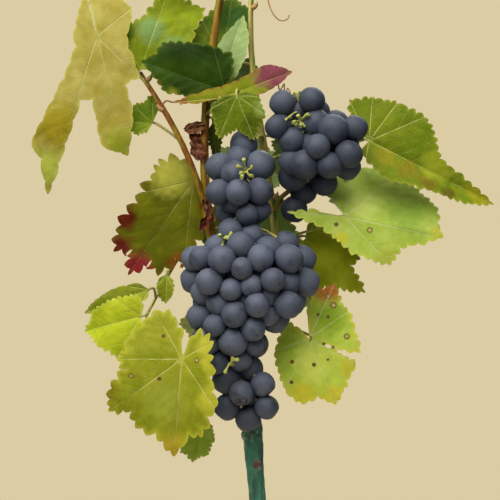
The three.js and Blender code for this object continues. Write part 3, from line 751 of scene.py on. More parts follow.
leaves = [
    Leaf("leaf_top_left", -78, [
        (-177, 28), (-100, 14), (-50, 32), (-44, 77), (-30, 102), (-28, 40), (-16, 38), (-10, 66),
        (2, 75), (12, 52), (18, 34), (34, 36), (80, 18), (116, 27), (177, 32)], ("cane_left", 321),
         ("c0ae44", "d8ca6c"), ("dcd460", 1.4), "leaf_hazy",
         bays=(0.35, 0.4, 0, 0.08, 0, 0.05, 0, 0, 0, 0, 0.05, 0.25, 0.05, 0.1), close=1, fold=(8, 8),
         curl=14, cup=20, lean=-4, via=((2, 5, 2), (7, 9, -9), (17, 11, -19)), teeth=(13, 0.06),
         wave=2.6, quilt=0.2,
         patches=((-35, 60, 19, "b8a41c"), (-35, 88, 16, "bcc448"), (0, 66, 12, "b0b42c"))),
    Leaf("leaf_crumpled", 55, [(-25, 36), (-10, 56), (16, 60), (28, 34), (60, 30), (85, 20)],
         ("cane_left", 315),
         ("7c8c04", "98a80c"), ("b0b430", 1.2), "leaf_lime", bays=0.12, close=30, fold=(10, 10), curl=25,
         wave=2.4, patches=((-25, 24, 10, "88a860"), (20, 25, 11, "88a860"), (58, 24, 7, "4c7206"))),
    Leaf("leaf_little", 175, [(-85, 18), (-40, 16), (0, 21), (40, 12)], ("cane_left", 283),
         ("6c8a10", "92a41c"), ("b0b434", 1), "leaf_green", bays=0.2),
    Leaf("leaf_dark", 160, [(-80, 24), (-55, 28), (-18, 48), (0, 54), (20, 36)], ("cane_main", 304),
         ("223c02", "3c5806"), ("647818", 0.8), "leaf_dark", bays=0.08, close=12, fold=(6, 6), curl=12,
         lean=8, teeth=(6, 0.22), patches=((15, 44, 5, "8c5c1c"), (22, 32, 5, "8c8c24"))),
    Leaf("leaf_mauve_tip", 20, [(-150, 8), (-15, 22), (0, 45), (16, 33), (26, 14), (165, 30)],
         ("cane_main", 299), ("94a018", "b0ac30"), ("b47a3c", 0.8), "leaf_green",
         bays=(0.1, 0, 0, 0, 0.85), close=8, fold=(4, 4), curl=8, cup=8, lean=6, teeth=(9, 0.06),
         patches=((6, 35, 15, "9c4a5c"), (165, 26, 7, "b07434"))),
    Leaf("leaf_folded", 72, [(-25, 22), (0, 46), (10, 33), (24, 22)], ("cane_main", 308),
         ("6a8a34", "8aa654"), ("a0b060", 0.8), "leaf_pale", bays=0, close=22, curl=10, cup=8, lean=-3,
         teeth=(6, 0.1), underside_out=True),
    Leaf("leaf_behind_cane", 82, [(-55, 15), (-20, 38), (0, 45), (35, 28), (60, 25), (85, 15)],
         ("cane_main", 325), ("4e7404", "84981a"), ("98a42c", 1), "leaf_green", bays=0.12, lean=-6,
         patches=((-10, 28, 15, "34600a"),)),
    Leaf("leaf_hanging", -88, [(-65, 17), (-25, 27), (20, 28), (55, 20), (85, 12)], ("cane_green", 292),
         ("4e6004", "74860e"), ("98a038", 1), "leaf_green", bays=(0.1, 0.28, 0.1, 0.1), lean=4,
         via=((1, 6, 3), (4, 9, -7)), wave=2, patches=((60, 17, 6, "a2b452"),)),
    Leaf("leaf_sliver", -85, [(-15, 12), (0, 22), (20, 12)], ("cane_main", 296),
         ("34440c", "4a5818"), ("6c5c20", 0.8), "leaf_dark", bays=0, cup=10),
    Leaf("leaf_crimson", -125,
         [(-110, 15), (-68, 24), (-42, 30), (-24, 52), (-14, 64), (0, 70), (14, 62), (28, 50), (60, 16)],
         ("cane_left", 262), ("6c7008", "84840e"), ("9c7c2c", 0.8), "leaf_autumn",
         bays=(0, 0.05, 0.1, 0, 0.15, 0.15, 0.12, 0.1), fold=(14, -4), cup=14, lean=4,
         teeth=(8, 0.6), wave=2,
         patches=((-70, 14, 17, "ccc850"), (-27, 48, 10, "70200c"), (-13, 62, 10, "802420"),
                  (2, 65, 13, "a82c38"), (24, 52, 8, "a8601c"), (60, 18, 5, "8e2a0a"))),
    Leaf("leaf_drooping", -92, [(-40, 9), (0, 18), (30, 9)], ("side_shoot", 198),
         ("98a41c", "aeb830"), ("bcc050", 0.8), "leaf_lime", bays=0, cup=10),
    Leaf("leaf_edgewise", -160, [(-30, 14), (-15, 27), (0, 42), (40, 8)], ("side_shoot", 186),
         ("98a418", "b0b838"), ("bcc050", 0.8), "leaf_lime", bays=0, cup=8, curl=10, teeth=(6, 0.1)),
    Leaf("leaf_lime", -165, [(-100, 12), (-50, 18), (-20, 30), (0, 36), (20, 32), (45, 29), (70, 16)],
         ("side_shoot", 176), ("b8c81a", "d8de30"), ("e0e25c", 1), "leaf_lime", bays=0.08, wave=2),
    Leaf("leaf_front", -92,
         [(-165, 26), (-148, 32), (-105, 35), (-88, 38), (-65, 46), (-52, 54), (-32, 48), (-3, 57),
          (20, 45), (42, 35), (85, 19), (115, 22), (145, 20)],
         ("trunk", 140), ("90980e", "a8aa24"), ("c8c43c", 2.4), "leaf_gold",
         bays=(0, 0.08, 0.08, 0.2, 0, 0.18, 0.12, 0.14, 0.1, 0.2, 0.15, 0.1), close=12, fold=(6, 36),
         curl=22, lean=5, via=((-3, 10, -1), (-2, 30, -5), (10, 43, -9)), wave=2.4, teeth=(8, 0.4),
         spots=(4, 1.1, 1.6),
         patches=((-65, 50, 11, "8c820a"), (-5, 54, 11, "b8a024"), (40, 30, 9, "c8c236"),
                  (85, 18, 7, "c8c236"), (115, 17, 7, "c8c43a"), (-20, 26, 17, "a8ae34"),
                  (-45, 44, 13, "8a8e0a"))),
    Leaf("leaf_low", -105, [(-50, 15), (-20, 25), (0, 28), (20, 22), (45, 12)], ("trunk", 121),
         ("86a02a", "acbc48"), ("b0bc58", 1), "leaf_dark", bays=0.1, via=((5, 8, 4),)),
    Leaf("leaf_gold_fold", -27,
         [(-75, 14), (-18, 44), (-7, 70), (0, 84), (25, 40), (50, 36), (80, 28), (112, 26), (142, 27)],
         ("cane_green", 270), ("6e8604", "849410"), ("a8a82c", 0.8), "leaf_gold",
         bays=(0.05, 0, 0, 0.3, 0, 0.05, 0.05, 0.05), fold=(40, 10), curl=12, lean=6,
         via=((-8, 9, 0), (-42, 13, -5)), teeth=(6, 0.3), wave=1.2,
         # The first four patches give the folded lower half its gold-brown colour and painted shade as well,
         # darker towards the tip, for the shade inside the fold.
         patches=((-25, 14, 10, "98940c"), (-13, 30, 9, "8a820c"), (-11, 44, 8, "7c700c"),
                  (-9, 57, 6, "6c600c"), (6, 44, 13, "a4ac20"), (2, 74, 12, "a4a014"))),
    Leaf("leaf_pale", -10,
         [(-175, 34), (-145, 14), (-90, 15), (-37, 39), (-2, 60), (18, 60), (55, 50), (92, 38),
          (128, 25)],
         ("cane_green", 222), ("acc440", "c0d25c"), ("ccd050", 1.3), "leaf_pale",
         bays=(0.2, 0.1, 0.15, 0.25, 0.04, 0.04, 0.04, 0.1), close=6, fold=(4, -34), cup=6, curl=14,
         lean=2, via=((-9, 4, -4), (-27, 25, -10)), wave=2, teeth=(6, 0.35), spots=(3, 1.1, 1.7),
         # Painted light and shade: the patches at 100 and 60 degrees lighten the upper half where the gold
         # fold leaf and the wing cast their shadow, and the one at 14 degrees darkens the bright band
         # between them.
         patches=((-88, 13, 5, "d0cc34"), (0, 57, 6, "c0c03c"), (100, 26, 20, "c8e45c"),
                  (60, 46, 15, "dcf470"), (14, 38, 17, "94b03c"), (-35, 34, 9, "b8c244"),
                  (45, 14, 12, "ccdc68"))),
    Leaf("leaf_olive", -42, [(-75, 20), (-35, 30), (0, 49), (22, 35), (60, 24), (100, 16)],
         ("cane_green", 214), ("8e9608", "aeb41e"), ("b4b02c", 1), "leaf_olive",
         bays=(0.05, 0.15, 0.25, 0.1, 0.1), curl=10, lean=2,
         patches=((55, 18, 7, "a4a02c"), (100, 11, 6, "8c8c20"))),
    Leaf("leaf_spotted", -80,
         [(-135, 16), (-80, 22), (-35, 34), (-15, 40), (12, 43), (52, 32), (58, 10), (65, 32), (115, 29),
          (145, 37), (162, 32)],
         ("cane_green", 174), ("b0cc3c", "c8d850"), ("e0d848", 2), "leaf_pale",
         bays=(0.1, 0.08, 0, 0.15, 0.08, 0, 0, 0.08, 0.12, 0.1), close=12, fold=(8, 10), lean=4,
         wave=1.8, teeth=(5, 0.36), spots=(11, 0.6, 1.9),
         patches=((-16, 34, 11, "d4cc34"), (14, 39, 11, "d4cc34"), (45, 30, 8, "d0cc3a"),
                  (0, 14, 15, "dce660"), (150, 33, 12, "b86c1a"), (125, 18, 12, "94b020"))),
    Leaf("leaf_top_a", 150, ordinary(40), ("cane_main", 390), ("6c9020", "8ca438"), ("a8b04c", 1),
         "leaf_green", lean=20, roll=15),
    Leaf("leaf_top_b", 54, ordinary(26), ("cane_main", 415), ("789a28", "94aa34"), ("a8b44c", 1),
         "leaf_green", lean=-20),
    Leaf("leaf_top_c", 105, ordinary(20), ("cane_main", 417), ("98ac30", "b4bc4c"), ("bcc45c", 1),
         "leaf_lime", lean=15, bays=0.2),
    Leaf("leaf_top_d", 2, ordinary(34), ("cane_green", 392), ("7c9c2c", "98ac40"), ("acb44c", 1),
         "leaf_green", lean=22),
    Leaf("leaf_back_upper", -160, ordinary(44), ("cane_green", 330), ("52781c", "748c28"),
         ("98a03c", 1), "leaf_green", lean=-35, roll=180),
    Leaf("leaf_back_wing", -30, ordinary(40), ("cane_green", 284), ("5c8020", "7c9428"),
         ("9ca43c", 1), "leaf_green", lean=-30, roll=180),
    Leaf("leaf_back_shoulder", 75, ordinary(34), ("cane_green", 256), ("608420", "7e982c"),
         ("98a444", 1), "leaf_green", lean=-42, roll=170),
    Leaf("leaf_back_right", -50, ordinary(36), ("cane_green", 204), ("74942c", "8fa43c"),
         ("b0b448", 1.4), "leaf_green", lean=-48, roll=190),
    Leaf("leaf_back_left", 172, ordinary(25), ("cane_main", 206), ("648824", "849c30"),
         ("9ca844", 1), "leaf_green", lean=-74),
    Leaf("leaf_back_middle", -70, ordinary(46), ("cane_main", 226), ("6c8a1c", "889c28"),
         ("a8ac3c", 1.4), "leaf_olive", lean=-20, roll=180),
    Leaf("leaf_back_low", -120, ordinary(34), ("cane_main", 170), ("808f28", "a0a43c"),
         ("bcb448", 1.8), "leaf_gold", lean=-25, roll=180),
]
for leaf in leaves:
    piece(leaf.node + "_blade", leaf.blade(), finishes[leaf.finish], leaf.finish, leaf.node)


# The stalks are swept along their paths, round and a little thicker towards the cane.
def smooth_path(points, step=1.5 * MM):
    """Points close together on a smooth curve through the ones given."""
    ends = [points[0] * 2 - points[1], *points, points[-1] * 2 - points[-2]]
    path = []
    for a, b, c, d in zip(ends, ends[1:], ends[2:], ends[3:]):
        pieces = max(2, math.ceil((c - b).length / step))
        for k in range(pieces):
            t = k / pieces
            path.append(0.5 * (b * 2 + (c - a) * t + (a * 2 - b * 5 + c * 4 - d) * t * t
                               + (b * 3 - a - c * 3 + d) * t ** 3))
    return path + [points[-1]]


def maker_tree(name, *inputs):
    """A geometry tree that works on a mesh: (tree, its input node, what ends it with a mesh)."""
    tree = bpy.data.node_groups.new(name, "GeometryNodeTree")
    for label, kind in (("Geometry", "Geometry"), *inputs, ("Finish", "Material")):
        tree.interface.new_socket(label, in_out="INPUT", socket_type="NodeSocket" + kind)
    tree.interface.new_socket("Geometry", in_out="OUTPUT", socket_type="NodeSocketGeometry")
    start, end = tree.nodes.new("NodeGroupInput"), tree.nodes.new("NodeGroupOutput")

    def ended(made):
        """Joins the copies made, smooths them, gives them their finish and ends the tree."""
        whole = add(tree, "GeometryNodeRealizeInstances", {"Geometry": made})
        smooth = add(tree, "GeometryNodeSetShadeSmooth", {"Geometry": whole.outputs[0]})
        inputs = {"Geometry": smooth.outputs[0], "Material": start.outputs["Finish"]}
        tree.links.new(add(tree, "GeometryNodeSetMaterial", inputs).outputs[0], end.inputs[0])
        return tree
    return tree, start, ended


def point_value(tree, name, kind="FLOAT"):
    """The output that gives a geometry tree what each point keeps under a name."""
    node = add(tree, "GeometryNodeInputNamedAttribute", {"Name": name}, data_type=kind)
    return node.outputs["Attribute"]


def sweeping_tree():
    """Geometry nodes that sweep a round section along polylines, as thick as each point says."""
    tree, start, ended = maker_tree("round sweep", ("Sides", "Int"))
    lines = add(tree, "GeometryNodeMeshToCurve", {"Mesh": start.outputs["Geometry"]})
    ring = add(tree, "GeometryNodeCurvePrimitiveCircle", {
        "Radius": 1.0, "Resolution": start.outputs["Sides"],
    })
    tube = add(tree, "GeometryNodeCurveToMesh", {
        "Curve": lines.outputs[0], "Profile Curve": ring.outputs[0], "Scale": point_value(tree, "thick"),
        "Fill Caps": True,
    })
    return ended(tube.outputs[0])


def grown(name, mesh, tree, inputs):
    """The plain mesh that a node tree makes of a mesh, with the tree's inputs set by name."""
    maker = shown(name, mesh)
    modifier = maker.modifiers.new("nodes", "NODES")
    modifier.node_group = tree
    sockets = {s.name: s.identifier for s in tree.interface.items_tree if s.in_out == "INPUT"}
    for key, value in inputs.items():
        modifier[sockets[key]] = value
    graph = bpy.context.evaluated_depsgraph_get()
    result = bpy.data.meshes.new_from_object(maker.evaluated_get(graph))
    bpy.data.objects.remove(maker)
    result.name = name
    return result


round_sweep = sweeping_tree()


def swept(name, paths, sides, finish):
    """Tubes along paths. A path is (points, radii in mm spread evenly along it, tone)."""
    vertices, edges, thick, tones = [], [], [], []
    for points, radii, tone in paths:
        first = len(vertices)
        vertices += points
        edges += [(k, k + 1) for k in range(first, len(vertices) - 1)]
        for k in range(len(points)):
            at = (len(radii) - 1) * k / (len(points) - 1)
            low = min(int(at), len(radii) - 2)
            thick.append((radii[low] + (radii[low + 1] - radii[low]) * (at - low)) * MM)
            tones.append(tone)
    mesh = bpy.data.meshes.new(name + "_lines")
    mesh.from_pydata(vertices, edges, [])
    mark(mesh, "thick", thick)
    mark(mesh, "tone", tones)
    return grown(name, mesh, round_sweep, {"Sides": sides, "Finish": finish})


stalk_skin, tree, shader = material("stalk skin", roughness=0.45, specular_ior_level=0.4)
clouds = mottled(tree, 300, 0.45, 0.62, (1, 1, 0.3))
feed(tree, shader, base_color=layered(
    tree, STALK_GREEN, (kept(tree, "tone"), STALK_BROWN), (clouds, STALK_OLIVE)))
bump(tree, shader, mottled(tree, 900, stretch=(1, 1, 0.2)), 0.1 * MM)
paths = []
radii = [STALK * share / 2 for share in (0.75, 0.95, 0.9, 0.95, 1.3)]
for leaf in leaves:
    paths.append((smooth_path(leaf.stalk()), radii, leaf.random.choice([0.05, 0.15, 0.3, 0.6])))
piece("leaf_stalks", swept("leaf_stalks", paths, 8, stalk_skin), stalk_skin, "cane_green")

# ---- the grapes ----
# Black wine grapes, round and a little taller than wide, pressed together in a long bunch with a
# wing. Each hangs from the bunch's stem by its own stalk, and all wear a dusty grey-blue bloom that
# is worn thin in places, with a small brown dot opposite the stalk. The lowest grapes, the shoulder
# and the wing are also painted darker, as painted shade.
BLOOM, BLOOM_THIN, SKIN_DARK, DOT_BROWN = "5e6575", "393f4c", "15151a", "24181a"
GRAPE_SIZES = (6.8, 7.4, 7.8, 8.1, 8.3, 8.6, 9.1)  # mm, half a grape's width
GRAPE_CUTS = 6  # points along each edge of the cube that is rounded into a grape
PRESSED = 0.975  # how near two grapes' middles come, as a share of their two radii
SETTLING = 260  # turns of pushing apart and pushing back inside
DRIFT = 0.05 * MM  # how far a loose grape moves in one turn
SINKING = 0.7  # the share of the turns in which the grapes also sink
PUSH_APART, PUSH_INSIDE = 0.35, 0.5  # the share of an overlap that one turn takes away
DEPTHS = (0.72, 1.5)  # how deep under the bunch's outside a grape's middle lies, in its radii
LOOSE = 2.4  # radii; a grape no deeper than this drifts out to its depth
LEAST_DEPTH = 4 * MM  # where a grape starts
STALK_DROP = 9 * MM  # how far above its grape a stalk leaves the bunch's stem
TALLNESS, DIMPLE = 1.05, 0.1  # a grape's height as a share of its width, and how deep its ends are sunk
AGED_SHADED_BELOW, AGED_SHADED_DEPTH = 160 * MM, 60 * MM  # from here down the grapes age and are also painted darker, as painted shade under the bunch's bulge; fully so this much lower
BLOOM_WORN_AND_SHADE = {"bunch_body": 0.42, "bunch_shoulder": 0.6, "bunch_wing": 0.95}  # how thin the bloom is, and painted shade: the shoulder and the wing hang in shade and are painted darker
BUNCHES = (  # the masses that hang together, with the grapes put in each, and the seed
    ((("bunch_body", 76), ("bunch_shoulder", 20)), 11),
    ((("bunch_wing", 34),), 12),
)
PICKED_ROOM = 1.2 * MM  # a grape whose skin is nearer than this to a picked spot has dropped off
PICKED = {  # where grapes have dropped off: shares of the bunch's box, and how many bare stalks show
    "bunch_body": (((0.30, 0.30, 0.94), 4), ((0.34, 0.24, 0.36), 3)),
    "bunch_shoulder": (((0.62, 0.16, 0.58), 6),),
    "bunch_wing": (((0.30, 0.33, 0.78), 6),),
}


def depth_inside(hulls, p):
    """How deep a point lies in a mass, and the way out. Where two masses meet is not a wall."""
    found = []
    for hull in hulls:
        surface, normal, *_ = hull.find_nearest(p)
        depth = (surface - p).dot(normal)
        for other in hulls:
            if other is not hull and depth > 0:
                beyond = surface + normal * 3 * MM
                wall, out, *_ = other.find_nearest(beyond)
                if (wall - beyond).dot(out) > 0:
                    depth = 1
        found.append((depth, normal))
    return max(found, key=lambda pair: pair[0])


def packed(masses, seed):
    """Middles and radii of grapes settled inside a bunch's masses, some proud and some set back."""
    dice = random.Random(seed)
    hulls, spots = [], []
    for node, number in masses:
        cad = solid_of(node)
        hulls.append(BVHTree.FromBMesh(cad))
        cad.free()
        low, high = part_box(node)
        wanted = len(spots) + number
        while len(spots) < wanted:
            p = Vector([dice.uniform(a, b) for a, b in zip(low, high)])
            if depth_inside(hulls[-1:], p)[0] > LEAST_DEPTH:
                spots.append(p)
    radii = numpy.array([dice.choice(GRAPE_SIZES) * MM for _ in spots])
    depths = numpy.array([dice.uniform(*DEPTHS) for _ in spots]) * radii
    spots = numpy.array(spots)
    for turn in range(SETTLING):
        spots[:, 2] -= DRIFT * (turn < SINKING * SETTLING)
        apart = spots[:, None] - spots[None]
        gaps = numpy.linalg.norm(apart, axis=2) + 1e-9
        need = PRESSED * (radii[:, None] + radii[None]) - gaps
        numpy.fill_diagonal(need, 0)
        push = (numpy.clip(need, 0, None) / gaps)[:, :, None] * apart
        spots += PUSH_APART * push.sum(axis=1)
        for k, p in enumerate(spots):
            depth, out = depth_inside(hulls, Vector(p))
            if depth < depths[k]:
                spots[k] -= numpy.array(out) * (depths[k] - depth) * PUSH_INSIDE
            elif depth < LOOSE * radii[k]:
                spots[k] += numpy.array(out) * DRIFT
    return spots, radii


def grape_tree():
    """Geometry nodes that put a grape on every point: round, dimpled at both ends, turned and sized."""
    tree, start, ended = maker_tree("grapes", ("Tallness", "Float"), ("Dimple", "Float"))
    cuts = {"Vertices " + axis: GRAPE_CUTS for axis in "XYZ"}
    block = add(tree, "GeometryNodeMeshCube", {"Size": (2, 2, 2), **cuts})
    ball, _ = vectors(tree, "NORMALIZE", add(tree, "GeometryNodeInputPosition").outputs[0])
    parts = add(tree, "ShaderNodeSeparateXYZ", {0: ball}).outputs
    pole = between(tree, maths(tree, "ABSOLUTE", parts["Z"]), 0.9, 1.0)
    sunk = maths(tree, "SUBTRACT", 1.0, times(tree, pole, start.outputs["Dimple"]))
    tall = times(tree, times(tree, parts["Z"], sunk), start.outputs["Tallness"])
    shape = add(tree, "ShaderNodeCombineXYZ", {"X": parts["X"], "Y": parts["Y"], "Z": tall})
    grape = add(tree, "GeometryNodeSetPosition", {
        "Geometry": block.outputs["Mesh"], "Position": shape.outputs[0],
    })
    turn = add(tree, "FunctionNodeEulerToRotation", {0: point_value(tree, "turn", "FLOAT_VECTOR")})
    many = add(tree, "GeometryNodeInstanceOnPoints", {
        "Points": start.outputs["Geometry"], "Instance": grape.outputs[0], "Rotation": turn.outputs[0],
        "Scale": point_value(tree, "size"),
    })
    return ended(many.outputs[0])


grape_skin, tree, shader = material("grape bloom", specular_ior_level=0.3)
worn = mottled(tree, 110, 0.5, 0.8, detail=2)
clouded = times(tree, mottled(tree, 500, 0.35, 0.8, detail=2), 0.1)
out, _ = vectors(tree, "SUBTRACT", on_object(tree), kept(tree, "middle", "Vector"))
out, _ = vectors(tree, "NORMALIZE", out)
_, faced = vectors(tree, "DOT_PRODUCT", out, kept(tree, "tail", "Vector"))
crease = times(tree, mottled(tree, 230, 0.42, 0.5, (2.5, 2.5, 0.6)), between(tree, faced, 0.72, 0.95))
crease = times(tree, crease, kept(tree, "old"))
dot = maths(tree, "MAXIMUM", between(tree, faced, 0.991, 0.999, 0, 0.75), crease)
colour = layered(
    tree, BLOOM, (kept(tree, "tone"), BLOOM_THIN), (times(tree, worn, 0.5), SKIN_DARK),
    (clouded, SKIN_DARK), (mottled(tree, 420, 0.72, 0.75), SKIN_DARK), (dot, DOT_BROWN))
feed(tree, shader, base_color=colour, roughness=between(tree, worn, 0, 1, 0.62, 0.42))
bump(tree, shader, mottled(tree, 1400, 0.3, 0.7), 0.03 * MM)

grapes_on_points = grape_tree()
stem_paths = []
for masses, seed in BUNCHES:
    nodes = [node for node, _ in masses]
    spots, radii = packed(masses, seed)
    dice = random.Random(seed)
    axis = [slice_ for node in nodes for slice_ in middle_line(node, 2, 12, 0.06)]
    axis.sort(key=lambda slice_: slice_[0].z)
    for node in nodes:
        low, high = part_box(node)
        for shares, count in PICKED[node]:
            gap = Vector([a + (b - a) * share for a, b, share in zip(low, high, shares)])
            stays = numpy.linalg.norm(spots - numpy.array(gap), axis=1) > radii + PICKED_ROOM
            spots, radii = spots[stays], radii[stays]
            hold = min(axis, key=lambda slice_: (slice_[0] - gap).length)[0]
            stem_paths.append((smooth_path([hold, hold.lerp(gap, 0.6), gap]), (1.3, 1.1, 1.0), 0.1))
            turn = dice.uniform(0, math.tau)
            for _ in range(count):
                turn += math.tau / count * dice.uniform(0.45, 1.5)
                reach = Vector((math.cos(turn), dice.uniform(-1.3, 0.2), math.sin(turn)))
                reach *= dice.uniform(3, 6.5) * MM
                bend = Vector([dice.uniform(-1, 1) for _ in range(3)]) * MM
                prong = smooth_path([gap, gap + reach * 0.5 + bend, gap + reach], 1 * MM)
                stem_paths.append((prong, (0.7, 0.5, 0.55, 1.1, 1.2), dice.uniform(0, 0.2)))
    for node in nodes:
        turns, tones, tails, olds, middles, sizes = [], [], [], [], [], []
        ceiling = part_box("bunch_body")[1][2]
        for spot, radius in zip(spots, radii):
            if len(nodes) > 1 and (spot[2] > ceiling) != (node == "bunch_shoulder"):
                continue
            spot = Vector(spot)
            level = min(spot.z + STALK_DROP, axis[-1][0].z)
            hold = min(axis, key=lambda slice_: abs(slice_[0].z - level))[0]
            lift = (hold - spot + Vector((0, 0, 3 * MM))).normalized()
            turns += lift.to_track_quat("Z", "Y").to_euler()
            # Painted shade as well as age: grapes low in the bunch are painted darker for the shade under
            # its bulge.
            aged_and_shaded = max(0, (AGED_SHADED_BELOW - spot.z) / AGED_SHADED_DEPTH)
            # The tone darkens for thinner bloom and, on the shoulder and the wing, as painted shade.
            tones.append(min(1, dice.uniform(0, 0.45) + BLOOM_WORN_AND_SHADE[node] + 0.6 * aged_and_shaded - 0.2))
            tails += list(-lift)
            olds.append(float(aged_and_shaded > 0 and dice.random() < 0.6))
            middles.append(spot)
            sizes.append(radius)
            top = spot + lift * radius * 0.93
            bend = top.lerp(hold, 0.5) + Vector((0, 0, 2 * MM))
            own = smooth_path([hold, bend, top], 2 * MM)
            stem_paths.append((own, (0.7, 0.5, 0.5, 0.6, 1.2), dice.uniform(0, 0.5)))
        points = bpy.data.meshes.new(node + "_points")
        points.from_pydata(middles, [], [])
        for label, kind, values in (
            ("turn", "FLOAT_VECTOR", turns), ("tail", "FLOAT_VECTOR", tails), ("size", "FLOAT", sizes),
            ("middle", "FLOAT_VECTOR", [part for spot in middles for part in spot]),
            ("tone", "FLOAT", tones), ("old", "FLOAT", olds),
        ):
            mark(points, label, values, kind)
        sizes_in = {"Tallness": TALLNESS, "Dimple": DIMPLE, "Finish": grape_skin}
        made = grown(node + "_grapes", points, grapes_on_points, sizes_in)
        piece(node + "_grapes", made, grape_skin, "grape_skin", node)
    line = [slice_[0] for slice_ in axis[3:]]
    stem_paths.append((smooth_path(line), (0.7, 1.2, 1.5, 1.7), 0.2))
    if "bunch_wing" in nodes:
        stalk_end = shoot_lines["wing_stalk"][-1][0]
        joined = smooth_path([stalk_end, stalk_end.lerp(line[3], 0.5), line[4]])
        stem_paths.append((joined, (1.5, 1.3, 1.2), 0.8))
piece("grape_stalks", swept("grape_stalks", stem_paths, 6, stalk_skin), stalk_skin, "cane_green")

# ---- tendrils, buds and dried scraps ----
# What the season leaves on a vine: wiry tendrils that found nothing to hold, a brown bud at each
# node, and scraps of withered leaf and flower stalk caught between the canes, curled and brittle.
SCRAP = 0.3  # mm thick
SCRAP_GRAIN = 0.8  # mm between its points
WIND_STEPS = 14  # points to a turn of a tendril
SCRAP_TAN, SCRAP_BROWN, SCRAP_DARK, SCRAP_RED = "c8a070", "642414", "2c120c", "8c3a24"


def wound(start, end, radius, turns):
    """Points of a tendril that winds round the line between two places, widest in its middle."""
    axis = (end - start).normalized()
    side = axis.orthogonal().normalized()
    other = axis.cross(side)
    points = []
    for k in range(int(WIND_STEPS * turns) + 1):
        share = k / (WIND_STEPS * turns)
        angle = math.tau * turns * share
        wide = radius * math.sin(math.pi * share) ** 0.5
        points.append(start.lerp(end, share) + (side * math.cos(angle) + other * math.sin(angle)) * wide)
    return points


free = limb_at("cane_green", 384)
hook = (
    (5, -3, -2), (8, -5, -10), (10, -6, -19), (13, -7, -25), (17, -7, -28), (21, -7, -27),
    (22, -7, -24.5),
)
hooked = smooth_path([free] + [free + Vector(p) * MM for p in hook], 0.8 * MM)
curly = limb_at("cane_green", 322)
reach = curly + Vector((14, -15, -6)) * MM
low = reach + Vector((7, -1, -2)) * MM
curled = smooth_path([curly, curly.lerp(reach, 0.5) + Vector((0, -2, 2)) * MM, reach], 1 * MM)
curled += wound(reach, low, 2.3 * MM, 2)[1:]
curled += [low + Vector((2, 0, -4)) * MM, low + Vector((3, 1, -8)) * MM]
dry = limb_at("cane_left", 304)
twig = ((3, -2, 3), (7, -3, 2), (11, -2, 2.5), (12, -2, 0.5))
little = smooth_path([dry] + [dry + Vector(p) * MM for p in twig])
paths = [
    (hooked, (0.7, 0.5, 0.45, 0.4), 0.85),
    (curled, (0.6, 0.45, 0.4, 0.35), 0.95),
    (little, (0.6, 0.4), 0.9),
]
BUD = ((0.6, 0), (2.4, 1.0), (3.6, 2.6), (3.9, 4.4))  # mm out from the cane and up, along a bud
for limb, height, side in (
    ("cane_main", 205, -1), ("cane_main", 262, 1), ("cane_main", 330, -1), ("cane_main", 398, 1),
    ("cane_left", 300, -1), ("cane_left", 318, 1), ("cane_green", 246, 1), ("cane_green", 300, -1),
    ("cane_green", 366, 1), ("side_shoot", 212, -1),
):
    foot = limb_at(limb, height)
    bud = [foot + Vector((side * out, -0.6, up)) * MM for out, up in BUD]
    paths.append((smooth_path(bud, 0.7 * MM), (1.7, 1.6, 1.1, 0.15), 0.8))
piece("tendrils", swept("tendrils", paths, 8, stalk_skin), stalk_skin, "cane_bark")


def scraps(rows):
    """Crumpled closed scraps. A row is (middle, length, width, slope in degrees, curl, tone)."""
    made = bmesh.new()
    tones = made.verts.layers.float.new("tone")
    for number, (middle, length, width, slope, curl, tone) in enumerate(rows):
        seed = Vector((number * 7.3, 1.7, 3.1))
        along = Vector((math.cos(math.radians(slope)), 0, math.sin(math.radians(slope))))
        across = Vector((-along.z, 0, along.x))
        cols, rungs = max(4, round(length / SCRAP_GRAIN)), max(3, round(width / SCRAP_GRAIN))
        sides = []
        for lift in (SCRAP / 2, -SCRAP / 2):
            for row in range(rungs + 1):
                for col in range(cols + 1):
                    u, v = 2 * col / cols - 1, 2 * row / rungs - 1
                    ragged = 1 + 0.35 * noise.noise(Vector((u * 3, v * 3, 0)) + seed)
                    waist = math.sqrt(max(0.02, 1 - 0.9 * u * u)) * ragged
                    crumple = noise.noise(Vector((u * 2.2, v * 2.2, 4)) + seed) * 2.2 + curl * v * v
                    place = middle + MM * (
                        along * u * length / 2 * ragged + across * v * width / 2 * waist
                        + Vector((0, -1, 0)) * (crumple + lift)
                    )
                    corner = made.verts.new(place)
                    corner[tones] = tone + 0.3 * noise.noise(Vector((u * 4, v * 4, 9)) + seed)
                    sides.append(corner)
        half, wide = (rungs + 1) * (cols + 1), cols + 1
        rim = [*range(cols), *range(cols, half - 1, wide), *range(half - 1, half - wide, -1),
               *range(half - wide, 0, -wide)]
        for row in range(rungs):
            for col in range(cols):
                k = row * wide + col
                made.faces.new([sides[j] for j in (k, k + 1, k + wide + 1, k + wide)])
                made.faces.new([sides[j + half] for j in (k + wide, k + wide + 1, k + 1, k)])
        for a, b in zip(rim, rim[1:] + rim[:1]):
            made.faces.new([sides[j] for j in (b, a, a + half, b + half)])
    bmesh.ops.recalc_face_normals(made, faces=made.faces)
    mesh = bpy.data.meshes.new("dried_scraps")
    made.to_mesh(mesh)
    made.free()
    mesh.shade_smooth()
    mesh.set_sharp_from_angle(angle=math.radians(50))
    return mesh


